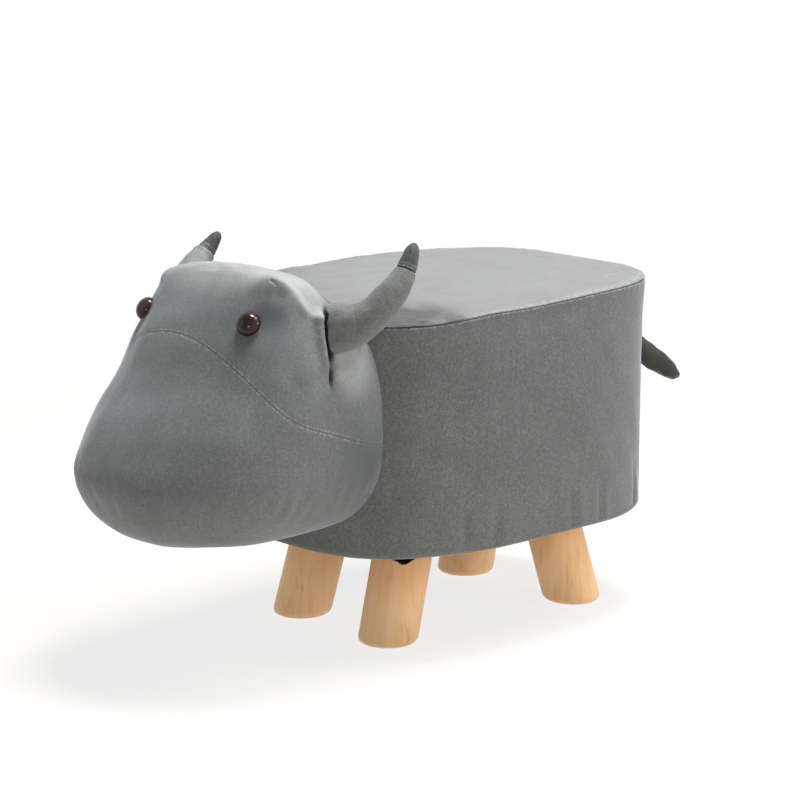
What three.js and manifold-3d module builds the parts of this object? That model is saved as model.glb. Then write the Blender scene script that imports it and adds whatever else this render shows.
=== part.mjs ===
// An animal footstool: an upholstered body on four splayed legs, with a stuffed head and horns at
// one end and a tail at the other. Millimetres, +Z up, standing on Z = 0. The head looks along -Y.
import * as THREE from "three";
import { mergeVertices } from "three/addons/utils/BufferGeometryUtils.js";
import Module from "manifold-3d";

const wasm = await Module();
wasm.setup();

// Body: a rounded oblong seen from above. A round share of 1 is an ellipse, and 0 a sharp box.
const bodyLength = 447.5;
const bodyWidth = 337;
const bodyFrontRoundShare = 0.64;
const bodyRearRoundShare = 0.67;
const bodyTaperShare = 0.037;
const seamHeight = 349;
const seatCrown = 10.5;
const undersideHeight = 106;
const bottomEdgeRadius = 11;
const bottomDrawIn = 2;
const clothThickness = 1.6;
const hemWidth = 42;

// The gap between pieces that touch, and how far a cutting shape runs past what it cuts.
const gap = 0.3;
const overrun = 5;

// Frame and padding inside the body.
const boardThickness = 15;
const seatBoardThickness = 12;
const sideFoamThickness = 8;
const cardThickness = 3;
const seatFoamThickness = 30;
const dustCoverThickness = 1.2;
const dustCoverInset = 24;
const postWidth = 32;
const postSetback = 4;

// Screws that hold the boards to the posts.
const screwDiameter = 4;
const screwLength = 42;
const screwHeadDiameter = 8;
const screwHeadHeight = 3;

// Legs: round, cut level at both ends, each leaning its own way round its upright bolt.
const legDiameter = 62;
const legLean = 28.8;
const legFootRadius = 8;
const frontLegSideInset = 104.5;
const frontLegEndInset = 126.75;
const rearLegSideInset = 114.5;
const rearLegEndInset = 111.75;
const boltDiameter = 8;
const boltInLeg = 45;
const boltInBoard = 13;
const nutBarrelDiameter = 11;
const nutFlangeDiameter = 24;
const nutFlangeThickness = 1.5;
const dustHoleClearance = 2.5;

// Head: a stuffed muzzle, narrow on top. Its widest place is low down at the front.
const headNarrowing = 53;
const headWidth = bodyWidth - headNarrowing;
const headHeight = 268.5;
const headAboveSeam = 53;
const headReach = 204;
const headLeanShare = 0.07;
const muzzleSeamBelowTop = 59.9;
const muzzleSeamReach = 121;
const muzzleSeamDrop = 72.8;
const muzzleSeamWidth = 304;
const muzzleSeamShift = 3;
const muzzleSeamSlopeShare = 0.386;
const chinPanelWidth = 168;
const chinPanelLength = 118;
const chinPanelReach = 94;
const chinPanelRise = 30;

// Eyes: a glossy button with a stem through the cloth and a washer behind it.
const eyeDiameter = 24.5;
const eyeBulge = 10;
const eyeInset = 62;
const eyeShift = 4;
const eyeBelowTop = 49.5;
const eyeLift = 3.5;
const eyeStandoff = 0.9;
const eyeStemDiameter = 4;
const eyeStemLength = 15;
const eyeWasherDiameter = 18;
const eyeWasherThickness = 1.5;
const eyeWasherSetback = 1.8;

// Horns: curved stuffed cones that sweep back along the head and up.
const hornDiameter = 46;
const hornSeamShare = 0.8;
const hornOut = 57;
const hornBack = 69;
const hornRiseLeft = 82;
const hornRiseRight = 56;
const hornRootInset = 44;
const hornRootReach = 10;
const hornRootBelowTop = 57;

// Tail: a flat stuffed strip sewn into the upright seam at the back.
const tailLength = 141;
const tailDrop = 83;
const tailRootBelowSeam = 63;
const tailDepth = 43;
const tailThickness = 17;
const tailSeamThickness = 2.4;

// The seat's top from its seam to its crown: how large each ring is, and how high it has risen.
const seatShares = [
  [1, 0],
  [0.985, 0.16],
  [0.95, 0.34],
  [0.88, 0.54],
  [0.74, 0.78],
  [0.5, 0.95],
  [0.2, 1],
];

// Posts: the turns from the body's side at which they stand.
const postTurns = [
  { place: "front", turn: -50 },
  { place: "middle", turn: 0 },
  { place: "rear", turn: 48 },
];

// Legs: how far each leans round from sideways, towards its own end of the body.
const legTurns = [
  { name: "front_left", sign: 1, isFront: true, turn: 82 },
  { name: "front_right", sign: -1, isFront: true, turn: 73 },
  { name: "rear_left", sign: 1, isFront: false, turn: 36 },
  { name: "rear_right", sign: -1, isFront: false, turn: 12 },
];

// The head from the chin up: how high, how wide, how far its front, its widest place and its back
// reach ahead of the body, and how round its front is seen from above.
const headShares = [
  [0, 0.17, 0.578, 0.468, 0.36, 1],
  [0.0074, 0.53, 0.75, 0.38, -0.04, 0.98],
  [0.033, 0.7, 0.85, 0.38, -0.29, 0.96],
  [0.077, 0.82, 0.925, 0.37, -0.37, 0.95],
  [0.151, 0.92, 0.98, 0.36, -0.37, 0.94],
  [0.255, 0.985, 1, 0.34, -0.37, 0.94],
  [0.402, 1, 0.91, 0.3, -0.37, 0.95],
  [0.568, 0.98, 0.77, 0.24, -0.35, 0.97],
  [0.705, 0.91, 0.645, 0.21, -0.29, 0.98],
  [0.808, 0.82, 0.543, 0.2, -0.12, 0.98],
  [0.9, 0.73, 0.438, 0.22, 0.01, 0.88],
  [0.948, 0.65, 0.389, 0.24, 0.06, 0.78],
  [0.978, 0.5, 0.359, 0.26, 0.14, 0.75],
  [1, 0.25, 0.334, 0.285, 0.24, 0.8],
];
const headBackRoundShare = 0.45;

// A horn's middle line: how far out, back and up each point lies; and its width along it.
const hornPathShares = [
  [0, 0, 0],
  [0.64, 0.17, 0.09],
  [0.96, 0.45, 0.33],
  [1.04, 0.76, 0.65],
  [1, 1, 1],
];
const hornWidthShares = [1, 0.98, 0.84, 0.72, 0.54, 0.26];

// The tail from its sewn edge to its tip: how far along, how far down, how deep and how thick.
const tailShares = [
  [0, 0, 1, 0],
  [0.12, 0.12, 1, 0.55],
  [0.3, 0.3, 0.95, 1],
  [0.5, 0.5, 0.82, 1],
  [0.7, 0.7, 0.72, 0.8],
  [0.87, 0.87, 0.6, 0.5],
  [0.96, 0.96, 0.44, 0.25],
  [1, 1, 0.24, 0.1],
];
const tailEdgeShare = 0.4;

// How finely the curved pieces are faceted.
const outlineSteps = 36;
const bottomEdgeSteps = 4;
const headRingSteps = 24;
const headRingCount = 18;
const hornRingSteps = 12;
const hornRings = 10;
const tailRingSteps = 12;
const roundSteps = 16;
const legSteps = 24;
const footSteps = 3;
const screwSteps = 8;
const boltSteps = 10;
const eyeSteps = 4;
const seamSteps = 10;
const searchSteps = 24;
const slopeStepShare = 0.05;

const degree = Math.PI / 180;

/** Raises the size of a value to a share, keeping its sign: a circle's cosine becomes a boxier one. */
function rounded(value, roundShare) {
  return Math.sign(value) * Math.abs(value) ** roundShare;
}

/** A ring's angles, evenly spaced, starting at +X and turning towards +Y. */
function ringAngles(steps) {
  return Array.from({ length: steps }, (unused, step) => (2 * Math.PI * step) / steps);
}

/** The point of the body's outline at an angle, with the outline drawn in by inset. */
function outlinePoint(angle, inset) {
  const roundShare = Math.sin(angle) < 0 ? bodyFrontRoundShare : bodyRearRoundShare;
  const acrossShare = rounded(Math.cos(angle), roundShare);
  const alongShare = rounded(Math.sin(angle), roundShare);
  const halfWidth = (bodyWidth / 2 - inset) * (1 - bodyTaperShare * alongShare);
  return new THREE.Vector2(acrossShare * halfWidth, alongShare * (bodyLength / 2 - inset));
}

/** The body's outline as points, drawn in by inset and then shrunk to a share of its size. */
function outline(inset, sizeShare = 1) {
  return ringAngles(outlineSteps).map((angle) => outlinePoint(angle, inset).multiplyScalar(sizeShare));
}

/** Stands flat points up at one height. */
function ringAt(points, height) {
  return points.map((point) => new THREE.Vector3(point.x, point.y, height));
}

/** Skins over rings of equal length, from the first to the last, and closes both ends. */
function loft(rings) {
  const count = rings[0].length;
  const points = rings.flat();
  const faces = [];
  for (let row = 0; row + 1 < rings.length; row += 1) {
    for (let column = 0; column < count; column += 1) {
      const a = row * count + column;
      const b = row * count + ((column + 1) % count);
      faces.push(a, b, b + count, a, b + count, a + count);
    }
  }
  const last = rings.length - 1;
  closeEnd(points, faces, rings[0], 0, true);
  closeEnd(points, faces, rings[last], last * count, false);
  const geometry = new THREE.BufferGeometry().setFromPoints(points);
  geometry.setIndex(faces);
  return geometry;
}

/** Fills one end of a loft with a fan about the ring's middle. */
function closeEnd(points, faces, ring, start, isFirst) {
  const middle = new THREE.Vector3();
  ring.forEach((point) => middle.add(point));
  const centre = points.push(middle.divideScalar(ring.length)) - 1;
  ring.forEach((point, column) => {
    const here = start + column;
    const next = start + ((column + 1) % ring.length);
    faces.push(centre, ...(isFirst ? [next, here] : [here, next]));
  });
}

/** A geometry as a solid that can be joined and cut. */
function toSolid(geometry) {
  const bare = new THREE.BufferGeometry();
  bare.setAttribute("position", geometry.getAttribute("position"));
  bare.setIndex(geometry.index);
  const merged = mergeVertices(bare);
  const corners = merged.index.array;
  const kept = [];
  for (let at = 0; at < corners.length; at += 3) {
    const [a, b, c] = corners.slice(at, at + 3);
    if (a !== b && b !== c && c !== a) {
      kept.push(a, b, c);
    }
  }
  const vertProperties = new Float32Array(merged.getAttribute("position").array);
  const triVerts = new Uint32Array(kept);
  return new wasm.Manifold(new wasm.Mesh({ numProp: 3, vertProperties, triVerts }));
}

/** A solid as a geometry that can be drawn. */
function toGeometry(solid) {
  const mesh = solid.getMesh();
  const geometry = new THREE.BufferGeometry();
  const positions = new Float32Array(mesh.numVert * 3);
  for (let vertex = 0; vertex < mesh.numVert; vertex += 1) {
    for (let axis = 0; axis < 3; axis += 1) {
      positions[vertex * 3 + axis] = mesh.vertProperties[vertex * mesh.numProp + axis];
    }
  }
  geometry.setAttribute("position", new THREE.BufferAttribute(positions, 3));
  geometry.setIndex(new THREE.BufferAttribute(new Uint32Array(mesh.triVerts), 1));
  geometry.computeVertexNormals();
  return geometry;
}

/** A flat outline raised into a plate or a prism from one height to another. */
function prism(points, bottom, top) {
  const depth = top - bottom;
  const raised = new THREE.ExtrudeGeometry(new THREE.Shape(points), { depth, bevelEnabled: false });
  return toSolid(raised.translate(0, 0, bottom));
}

/** A profile of radius and height turned round the Z axis. */
function turned(profile, steps = roundSteps) {
  const points = profile.map(([radius, height]) => new THREE.Vector2(radius, height));
  return new THREE.LatheGeometry(points, steps).rotateX(Math.PI / 2);
}

/** A round rod or hole about the Z axis. */
function rod(radius, bottom, top, steps = roundSteps) {
  return turned([[0, bottom], [radius, bottom], [radius, top], [0, top]], steps);
}

/** A material with the colour and sheen of one of the footstool's stuffs. */
function stuff(color, roughness, metalness = 0) {
  return { color, roughness, metalness };
}

const suede = stuff("#7b7e7a", 0.92);
const darkCloth = stuff("#5d5f5b", 0.92);
const lining = stuff("#1c1c1d", 0.95);
const plywood = stuff("#c9a878", 0.75);
const timber = stuff("#d2b487", 0.8);
const card = stuff("#9a8263", 0.9);
const foam = stuff("#e7dfc4", 0.95);
const wadding = stuff("#ececea", 1);
const legWood = stuff("#d3ab7c", 0.5);
const steel = stuff("#b9bbbd", 0.4, 0.9);
const glass = stuff("#3a1d14", 0.08);
const nylon = stuff("#d9d9d4", 0.6);

const footstool = new THREE.Group();
footstool.name = "animal_footstool";

/** Adds one named piece, made from a geometry or a solid. */
function addPiece(name, shape, { color, roughness, metalness }) {
  const geometry = shape.isBufferGeometry ? shape : toGeometry(shape);
  const material = new THREE.MeshStandardMaterial({ color, roughness, metalness });
  const piece = new THREE.Mesh(geometry, material);
  piece.name = name;
  footstool.add(piece);
}

/** Both sides of the animal: its left is +X. */
const sides = [
  { side: "left", sign: 1 },
  { side: "right", sign: -1 },
];

// The body's outside.

/** How far the side is drawn in at a height above its bottom edge: less and less up to the seam. */
function sideDrawIn(height) {
  const wall = seamHeight - undersideHeight - bottomEdgeRadius;
  return (bottomDrawIn * (seamHeight - height)) / wall;
}

/** The steps of the body's side from the underside up to a height, drawn in by inset. */
function sideRings(inset, top) {
  const radius = bottomEdgeRadius - inset;
  const rings = [];
  for (let step = 0; step <= bottomEdgeSteps; step += 1) {
    const angle = (Math.PI / 2) * (step / bottomEdgeSteps);
    const drawIn = bottomDrawIn + bottomEdgeRadius - radius * Math.sin(angle);
    const height = undersideHeight + bottomEdgeRadius - radius * Math.cos(angle);
    rings.push(ringAt(outline(drawIn), height));
  }
  rings.push(ringAt(outline(inset + sideDrawIn(top)), top));
  return rings;
}

/** The steps of the seat's top from its seam to the crown, drawn in and lowered by inset. */
function seatRings(inset) {
  return seatShares.map(([sizeShare, riseShare]) =>
    ringAt(outline(inset, sizeShare), seamHeight - inset + seatCrown * riseShare),
  );
}

/** The whole upholstered body as one solid, drawn in by inset, or grown where inset is negative. */
function bodySolid(inset) {
  return toSolid(loft([...sideRings(inset, seamHeight - inset - gap), ...seatRings(inset)]));
}

/** The padding's space below a height, inside the side cover. */
function sideSolid(inset, top) {
  return toSolid(loft(sideRings(inset, top)));
}

const foamInset = clothThickness + gap;
const cardInset = foamInset + sideFoamThickness + gap;
const boardInset = cardInset + cardThickness + gap;
const baseBoardBottom = undersideHeight + clothThickness + gap;
const baseBoardTop = baseBoardBottom + boardThickness;
const seatFoamBottom = seamHeight - seatFoamThickness;
const seatBoardTop = seatFoamBottom - gap;
const seatBoardBottom = seatBoardTop - seatBoardThickness;

/** The seat's top panel, a crowned skin that ends on the seam. */
function makeSeatCover() {
  const outside = toSolid(loft(seatRings(0)));
  const rim = ringAt(outline(clothThickness), seamHeight - overrun);
  const inside = toSolid(loft([rim, ...seatRings(clothThickness)]));
  addPiece("seat_cover", outside.subtract(inside), suede);
}

/** The band round the body, which turns under the base board and ends in a hem. */
function makeSideCover() {
  const outside = sideSolid(0, seamHeight - gap);
  const inside = sideSolid(clothThickness, seamHeight + overrun);
  const mouth = prism(outline(hemWidth), undersideHeight - overrun, baseBoardBottom + overrun);
  addPiece("side_cover", outside.subtract(inside).subtract(mouth), suede);
}

/** The crowned foam on the seat board, the foam band round the sides and the card wall behind it. */
function makePadding() {
  const foot = ringAt(outline(foamInset + sideDrawIn(seatFoamBottom)), seatFoamBottom);
  addPiece("seat_foam", loft([foot, ...seatRings(foamInset)]), foam);
  const reach = [undersideHeight - overrun, seamHeight + overrun];
  const band = sideSolid(foamInset, seatBoardTop);
  addPiece("side_foam", band.subtract(prism(outline(cardInset - gap), ...reach)), foam);
  const wall = sideSolid(foamInset, seatBoardTop).intersect(prism(outline(cardInset), ...reach));
  addPiece("card_wall", wall.subtract(prism(outline(boardInset - gap), ...reach)), card);
}

/** Where the posts stand: in the four corners and at the middle of each side. */
function postPlaces() {
  const inset = boardInset + postSetback + postWidth * Math.SQRT1_2;
  return sides.flatMap(({ side, sign }) =>
    postTurns.map(({ place, turn }) => {
      const point = outlinePoint(turn * degree, inset);
      return { name: `${place}_${side}`, x: sign * point.x, y: point.y };
    }),
  );
}

/** A countersunk screw pointing down from a height, made larger all round by growth. */
function screwShape(top, growth) {
  const radius = screwDiameter / 2 + growth;
  const headRadius = screwHeadDiameter / 2 + growth;
  const rise = growth > 0 ? overrun : 0;
  return turned(
    [
      [0, top - screwLength - growth],
      [radius, top - screwLength + radius],
      [radius, top - screwHeadHeight],
      [headRadius, top],
      ...(growth > 0 ? [[headRadius, top + rise]] : []),
      [0, top + rise],
    ],
    screwSteps,
  );
}

/** A screw or its hole at a place, pointing down from the seat board or up from the base board. */
function screwAt({ x, y }, pointsUp, growth = 0) {
  const screw = pointsUp
    ? screwShape(0, growth).rotateX(Math.PI).translate(0, 0, baseBoardBottom)
    : screwShape(seatBoardTop, growth);
  return screw.translate(x, y, 0);
}

/** Where the bolts stand and which way each leg leans from its bolt. */
function legPlaces() {
  return legTurns.map(({ name, sign, isFront, turn }) => ({
    name,
    x: sign * (bodyWidth / 2 - (isFront ? frontLegSideInset : rearLegSideInset)),
    y: isFront ? frontLegEndInset - bodyLength / 2 : bodyLength / 2 - rearLegEndInset,
    leanX: sign * Math.cos(turn * degree),
    leanY: (isFront ? -1 : 1) * Math.sin(turn * degree),
  }));
}

/** The two plywood boards, the posts between them and the screws through the boards. */
function makeFrame() {
  const places = postPlaces();
  const inside = sideSolid(foamInset, seatBoardTop + overrun);
  let baseBoard = prism(outline(boardInset), baseBoardBottom, baseBoardTop).intersect(inside);
  let seatBoard = prism(outline(boardInset), seatBoardBottom, seatBoardTop);
  for (const { x, y } of legPlaces()) {
    const hole = rod(nutBarrelDiameter / 2 + gap, baseBoardBottom - overrun, baseBoardTop + overrun);
    baseBoard = baseBoard.subtract(toSolid(hole.translate(x, y, 0)));
  }
  for (const place of places) {
    const upHole = toSolid(screwAt(place, true, gap));
    const downHole = toSolid(screwAt(place, false, gap));
    baseBoard = baseBoard.subtract(upHole);
    seatBoard = seatBoard.subtract(downHole);
    const height = seatBoardBottom - baseBoardTop - 2 * gap;
    const block = new THREE.BoxGeometry(postWidth, postWidth, height);
    block.translate(place.x, place.y, baseBoardTop + gap + height / 2);
    addPiece(`post_${place.name}`, toSolid(block).subtract(upHole).subtract(downHole), timber);
    addPiece(`base_screw_${place.name}`, screwAt(place, true), steel);
    addPiece(`seat_screw_${place.name}`, screwAt(place, false), steel);
  }
  addPiece("base_board", baseBoard, plywood);
  addPiece("seat_board", seatBoard, plywood);
}

const legTop = baseBoardBottom - gap;

/** One leg: a round bar leaning away from its bolt, cut level, with a rounded foot. */
function makeLeg({ name, x, y, leanX, leanY }) {
  const radius = legDiameter / 2;
  const profile = [[0, 0]];
  for (let step = 0; step <= footSteps; step += 1) {
    const angle = (Math.PI / 2) * (step / footSteps);
    const outShare = Math.sin(angle);
    const upShare = 1 - Math.cos(angle);
    profile.push([radius - legFootRadius * (1 - outShare), legFootRadius * upShare]);
  }
  profile.push([radius, legTop], [0, legTop]);
  const slopeX = (-leanX * legLean) / legTop;
  const slopeY = (-leanY * legLean) / legTop;
  const leaning = new THREE.Matrix4().makeShear(0, 0, 0, 0, slopeX, slopeY);
  const bar = turned(profile, legSteps).applyMatrix4(leaning);
  bar.translate(x + leanX * legLean, y + leanY * legLean, 0);
  const depth = legTop - boltInLeg - gap;
  const hole = rod(boltDiameter / 2 + gap, depth, legTop + overrun).translate(x, y, 0);
  addPiece(`leg_${name}`, toSolid(bar).subtract(toSolid(hole)), legWood);
}

/** The legs with their bolts, the tee nuts in the base board and the dust cover round them. */
function makeLegs() {
  const coverTop = undersideHeight - gap;
  const coverBottom = coverTop - dustCoverThickness;
  let dustCover = prism(outline(dustCoverInset), coverBottom, coverTop);
  for (const place of legPlaces()) {
    const { name, x, y, leanX, leanY } = place;
    makeLeg(place);
    const boltTop = baseBoardBottom + boltInBoard;
    const bolt = rod(boltDiameter / 2, legTop - boltInLeg, boltTop, boltSteps);
    addPiece(`hanger_bolt_${name}`, bolt.translate(x, y, 0), steel);
    const bore = boltDiameter / 2 + gap;
    const flangeTop = baseBoardTop + gap + nutFlangeThickness;
    const nut = turned([
      [bore, baseBoardBottom],
      [nutBarrelDiameter / 2, baseBoardBottom],
      [nutBarrelDiameter / 2, baseBoardTop + gap],
      [nutFlangeDiameter / 2, baseBoardTop + gap],
      [nutFlangeDiameter / 2, flangeTop],
      [bore, flangeTop],
      [bore, baseBoardBottom],
    ], boltSteps);
    addPiece(`tee_nut_${name}`, nut.translate(x, y, 0), steel);
    const share = 1 - coverBottom / legTop;
    const hole = rod(legDiameter / 2 + dustHoleClearance, coverBottom - overrun, coverTop + overrun);
    hole.translate(x + leanX * legLean * share, y + leanY * legLean * share, 0);
    dustCover = dustCover.subtract(toSolid(hole));
  }
  addPiece("dust_cover", dustCover, lining);
}

// The head.

const bodyFront = -bodyLength / 2;
const headTop = seamHeight + headAboveSeam;
const headUnderside = headTop - headHeight;
const muzzleSeamHeight = headTop - muzzleSeamBelowTop;
const headRows = new THREE.CubicInterpolant(
  headShares.map((row, index) => index),
  headShares.flat(),
  headShares[0].length,
);

/** One row of the head's table in real sizes, at a place between its rows, drawn in by inset. */
function headRow(at, inset) {
  const [riseShare, widthShare, frontShare, midShare, backShare, roundShare] = headRows.evaluate(at);
  const middle = headHeight / 2;
  const shrinkShare = 1 - inset / middle;
  return {
    height: headUnderside + middle + (headHeight * riseShare - middle) * shrinkShare,
    halfWidth: (widthShare * headWidth) / 2 - inset,
    front: bodyFront - frontShare * headReach + inset,
    mid: bodyFront - midShare * headReach,
    back: bodyFront - backShare * headReach - inset,
    roundShare,
    leanShare: headLeanShare * riseShare,
  };
}

/** A point of the head's skin on one of its rows. */
function headPoint(at, angle, inset = 0) {
  const row = headRow(at, inset);
  const isFront = Math.sin(angle) < 0;
  const acrossShare = rounded(Math.cos(angle), isFront ? row.roundShare : headBackRoundShare);
  const alongShare = rounded(Math.sin(angle), isFront ? row.roundShare : headBackRoundShare);
  const x = row.halfWidth * acrossShare;
  const y = row.mid + (isFront ? row.mid - row.front : row.back - row.mid) * alongShare;
  return new THREE.Vector3(x, y, row.height + row.leanShare * x);
}

/** The whole head as one solid, drawn in by inset, or grown where inset is negative. */
function headSolid(inset) {
  const angles = ringAngles(headRingSteps);
  const rings = Array.from({ length: headRingCount }, (unused, ring) => {
    const at = (ring * (headShares.length - 1)) / (headRingCount - 1);
    return angles.map((angle) => headPoint(at, angle, inset));
  });
  return toSolid(loft(rings));
}

/** The place on the head's front at a distance across and a height: a point and the way out of it. */
function headPlace(x, height) {
  const findPoint = (at, across) => {
    const { halfWidth, roundShare } = headRow(at, 0);
    const acrossShare = across / halfWidth;
    return headPoint(at, -Math.acos(rounded(acrossShare, 1 / roundShare)));
  };
  let low = 0;
  let high = headShares.length - 1;
  for (let step = 0; step < searchSteps; step += 1) {
    const middle = (low + high) / 2;
    if (findPoint(middle, x).z < height) {
      low = middle;
    } else {
      high = middle;
    }
  }
  const point = findPoint(low, x);
  const across = findPoint(low, x + gap).sub(findPoint(low, x - gap));
  const up = findPoint(low + slopeStepShare, x).sub(findPoint(low - slopeStepShare, x));
  return { point, outward: across.cross(up).normalize() };
}

/** Turns a shape about the Z axis so that it points the given way, and moves it to a place. */
function pointAt(shape, { point, outward }) {
  const turn = new THREE.Quaternion().setFromUnitVectors(new THREE.Vector3(0, 0, 1), outward);
  return shape.applyQuaternion(turn).translate(point.x, point.y, point.z);
}

/** The space below the muzzle's seam, an arch across the head, with the arch raised by lift. */
function belowSeam(lift) {
  const half = muzzleSeamWidth / 2;
  const points = [];
  for (let step = -seamSteps; step <= seamSteps; step += 1) {
    const share = step / seamSteps;
    const drop = muzzleSeamDrop * share ** 2;
    points.push(new THREE.Vector2(share * half + muzzleSeamShift, muzzleSeamHeight - drop + lift));
  }
  const outer = half + muzzleSeamShift + overrun;
  points.push(
    new THREE.Vector2(outer, muzzleSeamHeight - muzzleSeamDrop + lift),
    new THREE.Vector2(outer, -overrun),
    new THREE.Vector2(-outer, -overrun),
    new THREE.Vector2(-outer, muzzleSeamHeight - muzzleSeamDrop + lift),
  );
  const depth = 2 * headReach + 2 * overrun;
  const arch = new THREE.Shape(points.reverse());
  const raised = new THREE.ExtrudeGeometry(arch, { depth, bevelEnabled: false });
  raised.rotateX(Math.PI / 2).translate(0, muzzleSeamReach + headReach + overrun, 0);
  raised.applyMatrix4(new THREE.Matrix4().makeShear(0, 0, 0, -muzzleSeamSlopeShare, 0, 0));
  return toSolid(raised.translate(0, bodyFront - muzzleSeamReach, 0));
}

/** The upright prism that cuts the oval chin panel out of the head's underside. */
function chinPrism(growth) {
  const halfWidth = chinPanelWidth / 2 + growth;
  const halfLength = chinPanelLength / 2 + growth;
  const middle = bodyFront - chinPanelReach;
  const points = ringAngles(headRingSteps).map(
    (angle) => new THREE.Vector2(halfWidth * Math.cos(angle), middle + halfLength * Math.sin(angle)),
  );
  return prism(points, headUnderside - overrun, headUnderside + chinPanelRise);
}

/** The places of the two eyes, on the head's forehead. */
function eyePlaces() {
  return sides.map(({ side, sign }) => {
    const across = eyeShift + sign * (headWidth / 2 - eyeInset);
    const place = headPlace(across, headTop - eyeBelowTop + sign * eyeLift);
    place.point.addScaledVector(place.outward, eyeStandoff);
    return { side, place };
  });
}

/** One button eye: a domed glass front with a stem behind it. */
function eyeShape() {
  const radius = eyeDiameter / 2;
  const stem = eyeStemDiameter / 2;
  const profile = [[0, -eyeStemLength], [stem, -eyeStemLength], [stem, 0]];
  for (let step = 0; step < eyeSteps; step += 1) {
    const angle = (Math.PI / 2) * (step / eyeSteps);
    profile.push([radius * Math.cos(angle), eyeBulge * Math.sin(angle)]);
  }
  profile.push([0, eyeBulge]);
  return turned(profile);
}

/** The washer that holds an eye's stem behind the cloth. */
function washerShape() {
  const top = -eyeStandoff - clothThickness - eyeWasherSetback;
  const bottom = top - eyeWasherThickness;
  const bore = eyeStemDiameter / 2 + gap;
  const rim = eyeWasherDiameter / 2;
  return turned([[bore, bottom], [rim, bottom], [rim, top], [bore, top], [bore, bottom]]);
}

/** The head's cloth panels and stuffing, with the eyes and their washers. */
function makeHead() {
  const body = bodySolid(-gap);
  let skin = headSolid(0).subtract(headSolid(clothThickness)).subtract(body);
  let stuffing = headSolid(clothThickness + gap).subtract(body);
  for (const { side, place } of eyePlaces()) {
    addPiece(`eye_${side}`, pointAt(eyeShape(), place), glass);
    addPiece(`eye_washer_${side}`, pointAt(washerShape(), place), nylon);
    const stemHole = rod(eyeStemDiameter / 2 + gap, -eyeStemLength - gap, overrun);
    const hollowBottom = -eyeStandoff - clothThickness - eyeWasherSetback - eyeWasherThickness - gap;
    const hollow = rod(eyeWasherDiameter / 2 + gap, hollowBottom, overrun);
    const hole = toSolid(pointAt(stemHole, place));
    skin = skin.subtract(hole);
    stuffing = stuffing.subtract(hole).subtract(toSolid(pointAt(hollow, place)));
  }
  const muzzle = skin.intersect(belowSeam(0)).subtract(chinPrism(gap));
  addPiece("forehead_panel", skin.subtract(belowSeam(gap)), suede);
  addPiece("muzzle_panel", muzzle, suede);
  addPiece("chin_panel", skin.intersect(chinPrism(0)), suede);
  addPiece("head_stuffing", stuffing, wadding);
}

/** The middle line of a horn, from inside the head to the tip. */
function hornCurve(sign, rise) {
  const points = hornPathShares.map(
    ([outShare, backShare, riseShare]) =>
      new THREE.Vector3(
        sign * (headWidth / 2 - hornRootInset + hornOut * outShare),
        bodyFront - hornRootReach + hornBack * backShare,
        headTop - hornRootBelowTop + rise * riseShare,
      ),
  );
  return new THREE.CatmullRomCurve3(points);
}

const hornWidths = new THREE.CubicInterpolant(
  hornWidthShares.map((share, index) => index / (hornWidthShares.length - 1)),
  hornWidthShares,
  1,
);

/** A horn as one solid about its middle line, drawn in by inset. */
function hornSolid(curve, inset) {
  const reachShare = 1 - inset / curve.getLength();
  const { normals, binormals } = curve.computeFrenetFrames(hornRings);
  const rings = normals.map((normal, index) => {
    const at = index / hornRings;
    const centre = curve.getPointAt(at * reachShare);
    const [widthShare] = hornWidths.evaluate(at);
    const radius = (hornDiameter / 2) * widthShare - inset;
    return ringAngles(hornRingSteps).map((angle) =>
      centre
        .clone()
        .addScaledVector(normal, radius * Math.cos(angle))
        .addScaledVector(binormals[index], radius * Math.sin(angle)),
    );
  });
  return toSolid(loft(rings));
}

/** Everything past a horn's seam, on the side of its tip, starting later by setback. */
function pastSeam(curve, setback) {
  const disc = rod(hornDiameter, setback, curve.getLength());
  const place = { point: curve.getPointAt(hornSeamShare), outward: curve.getTangentAt(hornSeamShare) };
  return toSolid(pointAt(disc, place));
}

/** Both horns: a cloth cone with a dark tip sewn on, and its stuffing. */
function makeHorns() {
  const head = headSolid(-gap);
  for (const { side, sign } of sides) {
    const curve = hornCurve(sign, sign > 0 ? hornRiseLeft : hornRiseRight);
    const cloth = hornSolid(curve, 0).subtract(hornSolid(curve, clothThickness)).subtract(head);
    const stuffing = hornSolid(curve, clothThickness + gap).subtract(head);
    addPiece(`horn_cover_${side}`, cloth.subtract(pastSeam(curve, 0)), suede);
    addPiece(`horn_tip_${side}`, cloth.intersect(pastSeam(curve, gap)), darkCloth);
    addPiece(`horn_stuffing_${side}`, stuffing, wadding);
  }
}

const tailRootHeight = seamHeight - tailRootBelowSeam;

/** One upright ring of the tail, square to the way the body points. */
function tailRing(y, height, halfThickness, halfDepth) {
  return ringAngles(tailRingSteps).map(
    (angle) =>
      new THREE.Vector3(halfThickness * Math.cos(angle), y, height - halfDepth * Math.sin(angle)),
  );
}

/** The tail's rings from the sewn edge to the tip, drawn in by inset. */
function tailRings(inset) {
  const seam = tailSeamThickness / 2;
  const hinge = bodyLength / 2 + gap + seam;
  const swell = tailThickness / 2 - seam;
  const edge = tailRing(hinge - seam, tailRootHeight, seam * tailEdgeShare, tailDepth / 2 - seam);
  const rings = tailShares.map(([alongShare, dropShare, depthShare, swellShare]) =>
    tailRing(
      hinge + tailLength * alongShare,
      tailRootHeight - tailDrop * dropShare,
      seam + swell * swellShare - inset,
      (tailDepth / 2) * depthShare - inset,
    ),
  );
  return [edge, ...rings];
}

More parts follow.
